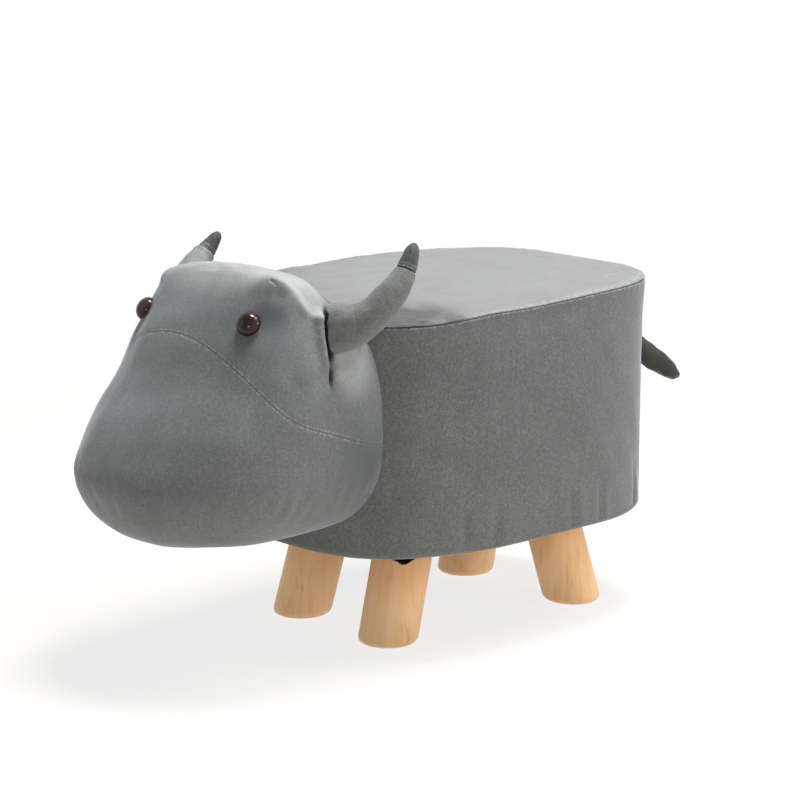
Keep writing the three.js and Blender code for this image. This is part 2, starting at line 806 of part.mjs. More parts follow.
/** The tail: two mirrored cloth sides sewn together at their edges, with stuffing between them. */
function makeTail() {
  const outside = toSolid(loft(tailRings(0)));
  const hollow = toSolid(loft(tailRings(clothThickness).slice(2, -1)));
  const skin = outside.subtract(hollow);
  const length = bodyLength + tailLength;
  for (const { side, sign } of sides) {
    const half = new THREE.BoxGeometry(bodyWidth, 2 * length, 2 * seamHeight);
    half.translate(sign * (bodyWidth / 2 + gap / 2), 0, seamHeight);
    addPiece(`tail_side_${side}`, skin.intersect(toSolid(half)), darkCloth);
  }
  addPiece("tail_stuffing", loft(tailRings(clothThickness + gap).slice(2, -1)), wadding);
}

makeSeatCover();
makeSideCover();
makePadding();
makeFrame();
makeLegs();
makeHead();
makeHorns();
makeTail();

// The origin is on the floor below the middle of the whole footstool's length.
const extent = new THREE.Box3().setFromObject(footstool);
footstool.position.y = -(extent.min.y + extent.max.y) / 2;

export default footstool;
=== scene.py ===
"""Looks of the animal footstool: cloth, stuffing, wood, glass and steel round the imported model."""

from __future__ import annotations

import logging
import math
from dataclasses import dataclass
from enum import Enum
from typing import Callable, Sequence

import bmesh
import bpy
import numpy as np
from mathutils import Matrix, Vector


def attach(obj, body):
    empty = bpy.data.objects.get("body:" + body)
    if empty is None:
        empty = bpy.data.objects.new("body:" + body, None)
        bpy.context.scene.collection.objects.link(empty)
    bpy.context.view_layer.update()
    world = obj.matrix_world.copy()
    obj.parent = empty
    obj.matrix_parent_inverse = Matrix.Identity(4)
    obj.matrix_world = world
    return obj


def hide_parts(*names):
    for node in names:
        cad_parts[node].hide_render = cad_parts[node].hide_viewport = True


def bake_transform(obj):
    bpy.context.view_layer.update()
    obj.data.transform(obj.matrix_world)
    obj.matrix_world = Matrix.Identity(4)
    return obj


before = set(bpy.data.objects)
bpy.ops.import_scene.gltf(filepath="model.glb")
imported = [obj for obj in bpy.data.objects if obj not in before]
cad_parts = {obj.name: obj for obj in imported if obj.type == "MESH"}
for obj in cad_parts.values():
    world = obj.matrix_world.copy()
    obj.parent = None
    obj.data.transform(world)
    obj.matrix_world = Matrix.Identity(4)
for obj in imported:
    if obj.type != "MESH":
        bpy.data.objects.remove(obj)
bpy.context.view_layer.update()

LOG = logging.getLogger("footstool")
FULL_TURN = 2.0 * math.pi
MERGE_DISTANCE = 1e-6
SHARP_ANGLE = math.radians(40)
BODY_MIDDLE_Y = 0.030887
GAP = 0.0003

Points = np.ndarray
Field = Callable[[Points], Points]
Colour = tuple[float, float, float, float]
Place = tuple[float, float, float]


class Side(Enum):
    """The animal's left, which is towards +X, and its right."""

    LEFT = 1.0
    RIGHT = -1.0

    @property
    def word(self) -> str:
        """The side's word in the names of pieces and nodes."""
        return self.name.lower()


def paint(code: str) -> Colour:
    """Turns a colour code such as 7b7e7a into the linear colour that a socket takes.

    Args:
        code: six hexadecimal digits, red, green and blue.

    Returns:
        The linear red, green, blue and an alpha of 1.
    """
    parts = [int(code[start : start + 2], 16) / 255 for start in (0, 2, 4)]
    linear = [part / 12.92 if part <= 0.04045 else ((part + 0.055) / 1.055) ** 2.4 for part in parts]
    return (linear[0], linear[1], linear[2], 1.0)


# Shapes


def rounded(value: Points, share: float | Points) -> Points:
    """Raises the size of values to a share and keeps their signs."""
    return np.sign(value) * np.abs(value) ** share


def through(table: Points, at: Points) -> Points:
    """Reads a table of rows at places between its rows, on one smooth curve.

    Args:
        table: the rows, one array row each.
        at: places counted in rows from the first.

    Returns:
        One row of values for each place.
    """
    full = np.vstack([2 * table[:1] - table[1:2], table, 2 * table[-1:] - table[-2:-1]])
    row = np.clip(np.floor(at).astype(int), 0, len(table) - 2)
    share = (at - row)[:, None]
    before, here, after, beyond = (full[row + step] for step in range(4))
    slope = (after - before) / 2
    bend = before - 2.5 * here + 2 * after - beyond / 2
    twist = (beyond - before) / 2 + 1.5 * (here - after)
    return here + share * (slope + share * (bend + share * twist))


def eased(value: Points) -> Points:
    """Leads values smoothly from 0 to 1 and holds them there."""
    share = np.clip(value, 0, 1)
    return share * share * (3 - 2 * share)


def bell(away: Points, width: float) -> Points:
    """Gives 1 at no distance, about a third at a width and 0 far away."""
    return np.exp(-((away / width) ** 2))


def near_path(points: Points, path: Sequence[Sequence[float]], width: float, fade: float = 0.25) -> Points:
    """Measures how close points are to a line, from 1 on it to 0 away from it, fading at its ends.

    Args:
        points: the places to measure.
        path: the line's own points.
        width: how far from the line the measure has fallen to about a third.
        fade: the share of the line at each end over which the measure rises from 0.

    Returns:
        The measure at each point.
    """
    line = np.array(path, float)
    steps = np.linalg.norm(np.diff(line, axis=0), axis=1)
    total = steps.sum()
    best = np.full(len(points), np.inf)
    along = np.zeros(len(points))
    done = 0.0
    for start, end, length in zip(line, line[1:], steps):
        way = (end - start) / length
        reach = np.clip((points - start) @ way, 0, length)
        far = np.linalg.norm(points - start - reach[:, None] * way, axis=1)
        closer = far < best
        best = np.where(closer, far, best)
        along = np.where(closer, (done + reach) / total, along)
        done += length
    return bell(best, width) * eased(np.minimum(along, 1 - along) / fade)


def near_spot(points: Points, middle: Sequence[float], radius: float) -> Points:
    """Measures how close points are to a spot, from 1 on it to 0 away from it."""
    return bell(np.linalg.norm(points - np.array(middle, float), axis=1), radius)


def ripple(points: Points, wavelength: float, seed: int, stretch: Sequence[float] = (1, 1, 1)) -> Points:
    """Gives a smooth uneven swell made of a few waves that cross, from about -1 to 1.

    Args:
        points: the places to measure.
        wavelength: the distance between the swell's crests.
        seed: picks the waves' directions.
        stretch: how much each axis counts.

    Returns:
        The swell at each point.
    """
    waves = 7
    shortest, longest = 0.75, 1.35
    chance = np.random.default_rng(seed)
    total = np.zeros(len(points))
    for _ in range(waves):
        way = chance.normal(size=3) * np.array(stretch, float)
        way *= FULL_TURN / (wavelength * np.linalg.norm(way) * chance.uniform(shortest, longest))
        total += np.sin(points @ way + chance.uniform(0, FULL_TURN))
    return total / math.sqrt(waves)


class Form:
    """A closed form that starts as a spun profile and is then moved into its real shape."""

    def __init__(self, name: str) -> None:
        """Starts an empty form under the name of its piece."""
        self.name = name
        self.shape = bmesh.new()

    def spin(self, profile: Points, steps: int, is_loop: bool = False) -> "Form":
        """Turns a profile round the Z axis.

        Args:
            profile: pairs of radius and height.
            steps: how many steps make the full turn.
            is_loop: whether the profile's last point joins its first.

        Returns:
            The form.
        """
        corners = [self.shape.verts.new((radius, 0.0, height)) for radius, height in profile]
        pairs = list(zip(corners, corners[1:])) + ([(corners[-1], corners[0])] if is_loop else [])
        edges = [self.shape.edges.new(pair) for pair in pairs]
        bmesh.ops.spin(
            self.shape,
            geom=corners + edges,
            axis=(0, 0, 1),
            cent=(0, 0, 0),
            angle=FULL_TURN,
            steps=steps,
            use_merge=True,
        )
        bmesh.ops.remove_doubles(self.shape, verts=self.shape.verts, dist=MERGE_DISTANCE)
        return self

    def plate(self, across: int, along: int, levels: Sequence[float]) -> "Form":
        """Makes a round plate of even squares, of radius 1, from height 0 to 1.

        Args:
            across: how many squares lie across it.
            along: how many squares lie along it.
            levels: the heights of the rings round its wall.

        Returns:
            The form.
        """
        bmesh.ops.create_grid(self.shape, x_segments=across, y_segments=along, size=1.0)
        u, v = np.array([corner.co[:2] for corner in self.shape.verts]).T
        for corner, x, y in zip(self.shape.verts, u * np.sqrt(1 - v * v / 2), v * np.sqrt(1 - u * u / 2)):
            corner.co.xy = (x, y)
        raised = bmesh.ops.extrude_face_region(self.shape, geom=list(self.shape.faces))["geom"]
        tops = [part for part in raised if isinstance(part, bmesh.types.BMVert)]
        bmesh.ops.translate(self.shape, verts=tops, vec=(0, 0, 1))
        for level in levels:
            bmesh.ops.bisect_plane(
                self.shape,
                geom=[*self.shape.verts, *self.shape.edges, *self.shape.faces],
                dist=MERGE_DISTANCE,
                plane_co=(0, 0, level),
                plane_no=(0, 0, 1),
            )
        return self

    def move(self, place: Field) -> "Form":
        """Puts every corner where a field says.

        Args:
            place: gives the new places of all the corners from their old ones.

        Returns:
            The form.
        """
        moved = place(np.array([corner.co for corner in self.shape.verts]))
        for corner, point in zip(self.shape.verts, moved):
            corner.co = point
        return self

    def turn(self, matrix: Matrix) -> "Form":
        """Turns, leans and moves the whole form by a matrix."""
        bmesh.ops.transform(self.shape, matrix=matrix, verts=self.shape.verts)
        return self

    def piece(self) -> bpy.types.Object:
        """Ends the shaping.

        Returns:
            The form as a smooth object in the scene.
        """
        bmesh.ops.recalc_face_normals(self.shape, faces=self.shape.faces)
        made = into_scene(self.name, mesh_of(self.name, self.shape))
        made.data.shade_smooth()
        return made


def mesh_of(name: str, shape: bmesh.types.BMesh) -> bpy.types.Mesh:
    """Ends the shaping of a mesh.

    Args:
        name: the mesh's name.
        shape: what was shaped, which is freed.

    Returns:
        The mesh.
    """
    mesh = bpy.data.meshes.new(name)
    shape.to_mesh(mesh)
    shape.free()
    return mesh


def into_scene(name: str, data: bpy.types.ID) -> bpy.types.Object:
    """Puts a mesh, a lamp or a camera into the scene.

    Args:
        name: the name of its object.
        data: the mesh, the lamp or the camera.

    Returns:
        The object, at the origin.
    """
    made = bpy.data.objects.new(name, data)
    bpy.context.scene.collection.objects.link(made)
    return made


def twin_of(piece: bpy.types.Object) -> bpy.types.Object:
    """Copies a piece with a mesh of its own."""
    return into_scene(piece.name, piece.data.copy())


def corners_of(mesh: bpy.types.Mesh, what: str = "co") -> Points:
    """Reads one direction or place for every corner of a mesh.

    Args:
        mesh: the mesh.
        what: co for the corners' places, normal for their normals.

    Returns:
        One row of x, y and z for each corner.
    """
    values = np.zeros(len(mesh.vertices) * 3, np.float32)
    mesh.vertices.foreach_get(what, values)
    return values.reshape(-1, 3).astype(float)


def put_corners(mesh: bpy.types.Mesh, points: Points) -> None:
    """Writes every corner's place to a mesh."""
    mesh.vertices.foreach_set("co", points.astype(np.float32).ravel())
    mesh.update()


def write_marks(piece: bpy.types.Object, name: str, values: Points) -> None:
    """Writes one number for each corner of a piece, for its material to read."""
    marks = piece.data.attributes.new(name, "FLOAT", "POINT")
    marks.data.foreach_set("value", values.astype(np.float32))


def settle(piece: bpy.types.Object) -> None:
    """Applies all of a piece's modifiers to its mesh.

    Args:
        piece: the piece, whose old mesh is removed.
    """
    shown = piece.evaluated_get(bpy.context.evaluated_depsgraph_get())
    mesh = bpy.data.meshes.new_from_object(shown)
    piece.modifiers.clear()
    old = piece.data
    piece.data = mesh
    bpy.data.meshes.remove(old)
    mesh.name = piece.name


def refine(piece: bpy.types.Object, levels: int = 1) -> None:
    """Smooths a piece by subdivision, which is applied.

    Args:
        piece: the piece.
        levels: how many times each face is divided.
    """
    smooth = piece.modifiers.new("smooth", "SUBSURF")
    smooth.levels = smooth.render_levels = levels
    settle(piece)


def swell(piece: bpy.types.Object, amount: Field) -> None:
    """Moves each corner of a piece along its normal.

    Args:
        piece: the piece.
        amount: gives how far each corner moves out.
    """
    mesh = piece.data
    points = corners_of(mesh)
    put_corners(mesh, points + corners_of(mesh, "normal") * amount(points)[:, None])


def shift(piece: bpy.types.Object, move: Field) -> None:
    """Moves each corner of a piece by the step that a field gives."""
    points = corners_of(piece.data)
    put_corners(piece.data, points + move(points))


def cut(piece: bpy.types.Object, cutter: bpy.types.Object) -> None:
    """Takes the space of one closed form out of another.

    Args:
        piece: the piece that is cut.
        cutter: the form that is taken out of it, which is removed.
    """
    away = piece.modifiers.new("cut", "BOOLEAN")
    away.operation = "DIFFERENCE"
    away.solver = "EXACT"
    away.object = cutter
    settle(piece)
    bpy.data.objects.remove(cutter)


@dataclass(frozen=True)
class Stuffing:
    """How hard a cloth form is blown up from inside, as its stuffing does."""

    pressure: float = 4.0
    stiffness: float = 12.0
    quality: int = 4
    cap: float = 0.0035
    frames: int = 20

    def blow(self, piece: bpy.types.Object, held: Field) -> None:
        """Runs the cloth and keeps where it comes to rest.

        Args:
            piece: the closed form, a little smaller than it will be.
            held: how firmly each corner is held, from 0 to 1.
        """
        rest = corners_of(piece.data)
        group = piece.vertex_groups.new(name="held")
        for index, weight in enumerate(held(rest)):
            group.add([index], float(weight), "REPLACE")
        cloth = piece.modifiers.new("stuffing", "CLOTH")
        cloth.settings.quality = self.quality
        cloth.settings.tension_stiffness = self.stiffness
        cloth.settings.compression_stiffness = self.stiffness
        cloth.settings.vertex_group_mass = group.name
        cloth.settings.use_pressure = True
        cloth.settings.uniform_pressure_force = self.pressure
        cloth.settings.effector_weights.gravity = 0
        cloth.point_cache.frame_end = self.frames
        for number in range(1, self.frames + 1):
            bpy.context.scene.frame_set(number)
        shown = piece.evaluated_get(bpy.context.evaluated_depsgraph_get())
        step = corners_of(shown.data) - rest
        piece.modifiers.clear()
        piece.vertex_groups.clear()
        bpy.context.scene.frame_set(1)
        length = np.linalg.norm(step, axis=1, keepdims=True) + MERGE_DISTANCE
        put_corners(piece.data, rest + step / length * self.cap * np.tanh(length / self.cap))


# Materials


class Wire:
    """One value on its way through a material. Arithmetic on it adds Math nodes."""

    def __init__(self, board: "Board", socket: bpy.types.NodeSocket) -> None:
        """Wraps a socket of a board."""
        self.board = board
        self.socket = socket

    def __add__(self, other: "Wire | float") -> "Wire":
        """Adds."""
        return self.board.math("ADD", self, other)

    def __sub__(self, other: "Wire | float") -> "Wire":
        """Subtracts."""
        return self.board.math("SUBTRACT", self, other)

    def __rsub__(self, other: float) -> "Wire":
        """Subtracts this value from another."""
        return self.board.math("SUBTRACT", other, self)

    def __mul__(self, other: "Wire | float") -> "Wire":
        """Multiplies."""
        return self.board.math("MULTIPLY", self, other)

    def __truediv__(self, other: "Wire | float") -> "Wire":
        """Divides."""
        return self.board.math("DIVIDE", self, other)

    def __abs__(self) -> "Wire":
        """Drops the sign."""
        return self.board.math("ABSOLUTE", self, 0.0)

    __radd__ = __add__
    __rmul__ = __mul__


Value = Wire | float | Sequence[float]
SeamLine = Callable[["Board", Wire, Wire, Wire], Wire]


class Board:
    """The nodes of one material, or of the sky."""

    def __init__(self, owner: bpy.types.Material | bpy.types.World) -> None:
        """Starts an empty board.

        Args:
            owner: the material or the sky whose nodes these are.
        """
        self.owner = owner
        owner.use_nodes = True
        self.tree = owner.node_tree
        self.tree.nodes.clear()

    @classmethod
    def named(cls, name: str) -> "Board":
        """Starts the board of a new material."""
        return cls(bpy.data.materials.new(name))

    def add(
        self, kind: str, settings: dict | None = None, values: dict | None = None, out: str = ""
    ) -> Wire | None:
        """Adds one node.

        Args:
            kind: the node's type.
            settings: its settings, set first; a ramp's stops are pairs of place and colour.
            values: the value or wire of each socket, by name, identifier or number.
            out: the output's name or identifier, or nothing for the first.

        Returns:
            The output that was asked for, or nothing where the node has none.
        """
        node = self.tree.nodes.new(kind)
        for name, value in (settings or {}).items():
            if name == "stops":
                self._set_stops(node.color_ramp, value)
            else:
                setattr(node, name, value)
        for key, value in (values or {}).items():
            socket = node.inputs[key] if isinstance(key, int) else self._find(node.inputs, key)
            if isinstance(value, Wire):
                self.tree.links.new(value.socket, socket)
            else:
                socket.default_value = value
        if not node.outputs:
            return None
        return Wire(self, self._find(node.outputs, out) if out else node.outputs[0])

    @staticmethod
    def _find(sockets: Sequence, key: str) -> bpy.types.NodeSocket:
        """Finds a socket by its identifier, or else by its name."""
        return next((socket for socket in sockets if socket.identifier == key), None) or sockets[key]

    @staticmethod
    def _set_stops(ramp: bpy.types.ColorRamp, stops: Sequence[tuple[float, Colour]]) -> None:
        """Sets a ramp's stops in place of the two that it starts with.

        Args:
            ramp: the ramp.
            stops: pairs of place and colour.
        """
        while len(ramp.elements) < len(stops):
            ramp.elements.new(1.0)
        for element, (place, colour) in zip(ramp.elements, stops):
            element.position = place
            element.color = colour

    def math(self, operation: str, first: Value, second: Value) -> Wire:
        """Adds a Math node."""
        return self.add("ShaderNodeMath", {"operation": operation}, {0: first, 1: second})

    def place(self, stretch: Sequence[float] = (1.0, 1.0, 1.0)) -> Wire:
        """Gives the place on the piece.

        Args:
            stretch: how much each axis counts, for a pattern that runs along one.

        Returns:
            The place in metres.
        """
        here = self.add("ShaderNodeTexCoord", out="Object")
        if tuple(stretch) == (1.0, 1.0, 1.0):
            return here
        return self.add("ShaderNodeMapping", None, {"Vector": here, "Scale": stretch})

    def axes(self, place: Wire) -> tuple[Wire, Wire, Wire]:
        """Splits a place into its x, y and z."""
        split = self.add("ShaderNodeSeparateXYZ", None, {"Vector": place}).socket.node
        return tuple(Wire(self, socket) for socket in split.outputs)

    def noise(self, place: Wire, size: float, detail: float = 3.0, roughness: float = 0.55) -> Wire:
        """Gives an uneven pattern from 0 to 1 with marks of about a size in metres."""
        values = {"Vector": place, "Scale": 1.0 / size, "Detail": detail, "Roughness": roughness}
        return self.add("ShaderNodeTexNoise", None, values)

    def rise(self, value: Wire, low: float, high: float, start: float = 0.0, end: float = 1.0) -> Wire:
        """Leads a value smoothly from start to end while it goes from low to high."""
        values = {"Value": value, "From Min": low, "From Max": high, "To Min": start, "To Max": end}
        return self.add("ShaderNodeMapRange", {"interpolation_type": "SMOOTHSTEP"}, values)

    def mix(self, share: Value, first: Value, second: Value) -> Wire:
        """Mixes two colours."""
        values = {"Factor_Float": share, "A_Color": first, "B_Color": second}
        return self.add("ShaderNodeMix", {"data_type": "RGBA"}, values, "Result_Color")

    def ramp(self, share: Wire, stops: Sequence[tuple[float, Colour]]) -> Wire:
        """Gives a colour from a row of stops."""
        return self.add("ShaderNodeValToRGB", {"stops": stops}, {"Fac": share})

    def bump(self, height: Wire, depth: float, strength: float = 1.0) -> Wire:
        """Gives a normal from a height of 0 to 1 that stands for a depth in metres."""
        return self.add("ShaderNodeBump", None, {"Height": height, "Distance": depth, "Strength": strength})

    def finish(self, values: dict) -> bpy.types.Material:
        """Ends the material with its shader.

        Args:
            values: the shader's sockets.

        Returns:
            The material.
        """
        shader = self.add("ShaderNodeBsdfPrincipled", None, values)
        self.add("ShaderNodeOutputMaterial", None, {"Surface": shader})
        return self.owner


@dataclass(frozen=True)
class Suede:
    """Brushed cloth with a leathery grain, its colours, the sheen of its pile, and the colours of the light
    and shade painted on it.
    """

    name: str
    hollow: Colour
    middle: Colour
    crest: Colour
    sheen: float = 0.35
    contrast: float = 1.0
    grain: float = 0.0012
    clouds: float = 0.045
    streak_width: float = 0.004
    streaks: float = 0.125
    seam_edges: tuple[float, float] = (0.0002, 0.001)
    # How strong a mark must be for its painted light, or below 0 its painted shade, to be at its full.
    full_paint: float = 1.2
    relief: float = 0.0004
    # The colours of the seam's dark line, which paints shade into its groove over the stitched gap, and of
    # the painted highlight along its edges.
    seam_dark: Colour = paint("424443")
    seam_highlight: Colour = paint("a7abac")
    # The colours of painted light and sheen, of painted shade, and of painted shade deep in creases, in this
    # order.
    painted_light: Colour = paint("adb0b0")
    shaded: Colour = paint("4b4f50")
    crease_shade: Colour = paint("1d1f21")

    def make(
        self, name: str = "", seam: SeamLine | None = None, has_marks: bool = False
    ) -> bpy.types.Material:
        """Makes the cloth's material.

        Args:
            name: a name of its own, or nothing for the cloth's.
            seam: gives the distance to the piece's seams in metres, or nothing.
            has_marks: whether the piece says where light and shade are painted on it and where its creases
                lie, which get painted shade.

        Returns:
            The material.
        """
        board = Board.named(name or self.name)
        here = board.place()
        x, y, z = board.axes(here)
        fine = board.noise(here, self.grain, 2.0, 0.6)
        speck = board.noise(here, self.grain * 2.6, 3.0, 0.6)
        cloud = board.noise(here, self.clouds, 3.0)
        streak = board.noise(board.place((1.0, 1.0, 0.05)), self.streak_width, 3.0)
        share = (fine - 0.5) * 0.75 + (speck - 0.5) * 0.5 + (streak - 0.5) * self.streaks
        share = 0.5 + share * self.contrast + (cloud - 0.5) * 0.3
        colour = board.ramp(share, [(0.2, self.hollow), (0.5, self.middle), (0.8, self.crest)])
        height = fine * 0.5 + speck * 0.5
        if seam is not None:
            away = seam(board, x, y, z) + (speck - 0.5) * 0.0008
            line = 1.0 - board.rise(away, *self.seam_edges)
            # A painted highlight on a band along each side of the seam.
            edge = board.rise(away, 0.0006, 0.0014) * (1.0 - board.rise(away, 0.0016, 0.0032))
            colour = board.mix(edge * board.rise(speck, 0.35, 0.75, 0.0, 0.7), colour, self.seam_highlight)
            # The seam's dark line: painted shade in its groove, over the stitched gap.
            colour = board.mix(line * (0.15 + fine * 0.6), colour, self.seam_dark)
        # Painted light where the marks are above 0, painted shade where they are below 0, and painted shade
        # deep in creases.
        if has_marks:
            nap = board.add("ShaderNodeAttribute", {"attribute_name": "nap"}, out="Fac")
            crease_shade = board.add("ShaderNodeAttribute", {"attribute_name": "crease"}, out="Fac")
            lit_share = board.rise(nap, 0.0, self.full_paint) * (0.55 + speck * 0.3)
            dark = board.rise(nap * -1.0, 0.0, self.full_paint) * (0.62 + speck * 0.5)
            colour = board.mix(lit_share, colour, self.painted_light)
            colour = board.mix(dark, colour, self.shaded)
            colour = board.mix(board.rise(crease_shade, 0.1, 0.9) * 0.85, colour, self.crease_shade)
        return board.finish(
            {
                "Base Color": colour,
                "Roughness": 0.7 + speck * 0.22,
                "Normal": board.bump(height, self.relief, 0.45 * self.contrast + 0.15),
                "Sheen Weight": self.sheen,
                "Sheen Roughness": 0.4,
                "Sheen Tint": paint("e3e9ee"),
                "Specular IOR Level": 0.35,
            }
        )


@dataclass(frozen=True)
class Grained:
    """A hard or plain stuff: two colours in a pattern that is stretched along its grain."""

    name: str
    dark: Colour
    light: Colour
    size: float
    stretch: tuple[float, float, float] = (1.0, 1.0, 1.0)
    roughness: float = 0.7
    metallic: float = 0.0
    relief: float = 0.0002

    def make(self) -> bpy.types.Material:
        """Makes the stuff's material.

        Returns:
            The material.
        """
        board = Board.named(self.name)
        here = board.place(self.stretch)
        broad = board.noise(here, self.size, 4.0)
        fine = board.noise(here, self.size / 6, 3.0)
        share = broad * 0.7 + fine * 0.3
        return board.finish(
            {
                "Base Color": board.ramp(share, [(0.3, self.dark), (0.7, self.light)]),
                "Roughness": (self.roughness - 0.08) + share * 0.16,
                "Metallic": self.metallic,
                "Normal": board.bump(share, self.relief),
            }
        )


@dataclass(frozen=True)
class LegWood:
    """Pale turned wood: straight grain along the leg, growth bands and a thin satin coat."""

    name: str = "pale_leg_wood"
    pale: Colour = paint("fdcf9a")
    warm: Colour = paint("f4b576")
    streak: Colour = paint("d08346")
    band_width: float = 0.011
    fibre_width: float = 0.0016
    streak_width: float = 0.0042
    patch_size: float = 0.026
    warm_from: float = 0.03
    warm_to: float = 0.085
    relief: float = 0.00018

    def make(self, name: str, middle: Sequence[float], turn: float) -> bpy.types.Material:
        """Makes the wood of one leg.

        Args:
            name: the material's name.
            middle: where the leg's middle is, so that its bands differ from the other legs'.
            turn: which way the bands run, in radians.

        Returns:
            The material.
        """
        board = Board.named(name)
        grain = board.place((1.0, 1.0, 0.045))
        x, y, z = board.axes(board.place())
        wander = board.noise(board.place((1.0, 1.0, 0.2)), 0.022, 3.0)
        across = (x - middle[0]) * math.cos(turn) + (y - middle[1]) * math.sin(turn)
        bands = (across + wander * 0.03 + z * 0.05) * (FULL_TURN / self.band_width)
        bands = board.rise(board.math("SINE", bands, 0.0), -0.6, 1.0)
        fibre = board.noise(grain, self.fibre_width, 4.0, 0.6)
        patch = board.noise(board.place((1.0, 1.0, 0.35)), self.patch_size, 3.0)
        colour = board.mix(bands * 0.3 + (fibre - 0.5) * 0.8 + (patch - 0.5) * 0.9, self.pale, self.warm)
        streaks = board.rise(board.noise(grain, self.streak_width, 3.0), 0.48, 0.74)
        colour = board.mix(streaks * board.rise(patch, 0.46, 0.66) * 0.6, colour, self.streak)
        near_top = board.rise(z, self.warm_from, self.warm_to) * (0.2 + patch * 0.5)
        colour = board.mix(near_top, colour, self.streak)
        return board.finish(
            {
                "Base Color": colour,
                "Roughness": 0.42 + fibre * 0.16,
                "Coat Weight": 0.12,
                "Coat Roughness": 0.35,
                "Normal": board.bump(fibre * 0.6 + bands * 0.4, self.relief),
            }
        )


@dataclass(frozen=True)
class EyeGlass:
    """A button eye seen from its front: a black pupil, a brown ring and a dark rim under gloss."""

    name: str = "brown_eye_glass"
    pupil: Colour = paint("0d0705")
    ring: Colour = paint("1c100b")
    glow: Colour = paint("45281e")
    rim: Colour = paint("221613")
    fleck_size: float = 0.0009

    def make(self) -> bpy.types.Material:
        """Makes the eye's material, which reads how far out on the eye a place is.

        Returns:
            The material.
        """
        board = Board.named(self.name)
        out = board.add("ShaderNodeAttribute", {"attribute_name": "out_share"}, out="Fac")
        flecks = board.noise(board.place(), self.fleck_size, 3.0)
        stops = [(0.0, self.pupil), (0.2, self.pupil), (0.5, self.ring), (0.82, self.glow), (0.98, self.rim)]
        colour = board.ramp(out + (flecks - 0.5) * 0.14, stops)
        return board.finish(
            {
                "Base Color": colour,
                "Roughness": 0.05 + flecks * 0.04,
                "IOR": 1.31,
            }
        )


GREY_SUEDE = Suede("grey_suede", paint("515252"), paint("636465"), paint("777979"), contrast=1.4)
HEAD_SUEDE = Suede("head_suede", paint("585b5b"), paint("6a6d6e"), paint("808383"), contrast=1.1)
# The seat is the side band's cloth painted lighter, as painted light on the top; its shaded colour is the
# painted shade on its shoulders.
LIT_SEAT_SUEDE = Suede(
    "seat_suede",
    paint("666765"),
    paint("7b7b79"),
    paint("8c8c8a"),
    sheen=0.6,
    contrast=1.1,
    shaded=paint("353633"),
)
HORN_SUEDE = Suede("horn_suede", paint("555755"), paint("6b6d6b"), paint("868887"))
TIP_SUEDE = Suede("tip_suede", paint("2d2f2d"), paint("424543"), paint("5f6360"), sheen=0.2, contrast=1.3)
DARK_SUEDE = Suede("dark_suede", paint("1d1d19"), paint("2b2c26"), paint("3e3f37"), sheen=0.12)
PLYWOOD = Grained("birch_plywood", paint("b08b5b"), paint("d6b98b"), 0.012, (1.0, 0.12, 3.0), 0.72)
PINE = Grained("pine_timber", paint("b98f5c"), paint("dcc193"), 0.008, (1.0, 1.0, 0.07), 0.78)
CARD = Grained("grey_card", paint("82705a"), paint("a69174"), 0.004, (1.0, 1.0, 0.4), 0.9)
STEEL = Grained("zinc_steel", paint("8d9092"), paint("c2c5c7"), 0.002, (1.0, 1.0, 0.2), 0.38, 0.9, 0.00005)
NYLON = Grained("white_nylon", paint("c9c9c3"), paint("e4e4df"), 0.003, roughness=0.55)
LINING = Grained("black_lining", paint("0f0f10"), paint("2b2b2c"), 0.0012, (1.0, 0.35, 1.0), 0.93)


def dress(piece: bpy.types.Object, material: bpy.types.Material) -> None:
    """Gives a whole piece one material."""
    piece.data.materials.clear()
    piece.data.materials.append(material)


def stand_for(piece: bpy.types.Object, body: str, slot: str, *nodes: str) -> None:
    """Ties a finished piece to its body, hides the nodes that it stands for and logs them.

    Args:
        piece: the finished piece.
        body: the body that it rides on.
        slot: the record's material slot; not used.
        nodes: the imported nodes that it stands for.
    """
    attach(piece, body)
    if nodes:
        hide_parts(*nodes)
    LOG.info("%s rides on %s and stands for %s", piece.name, body, ", ".join(nodes) or "nothing")


# The upholstered body


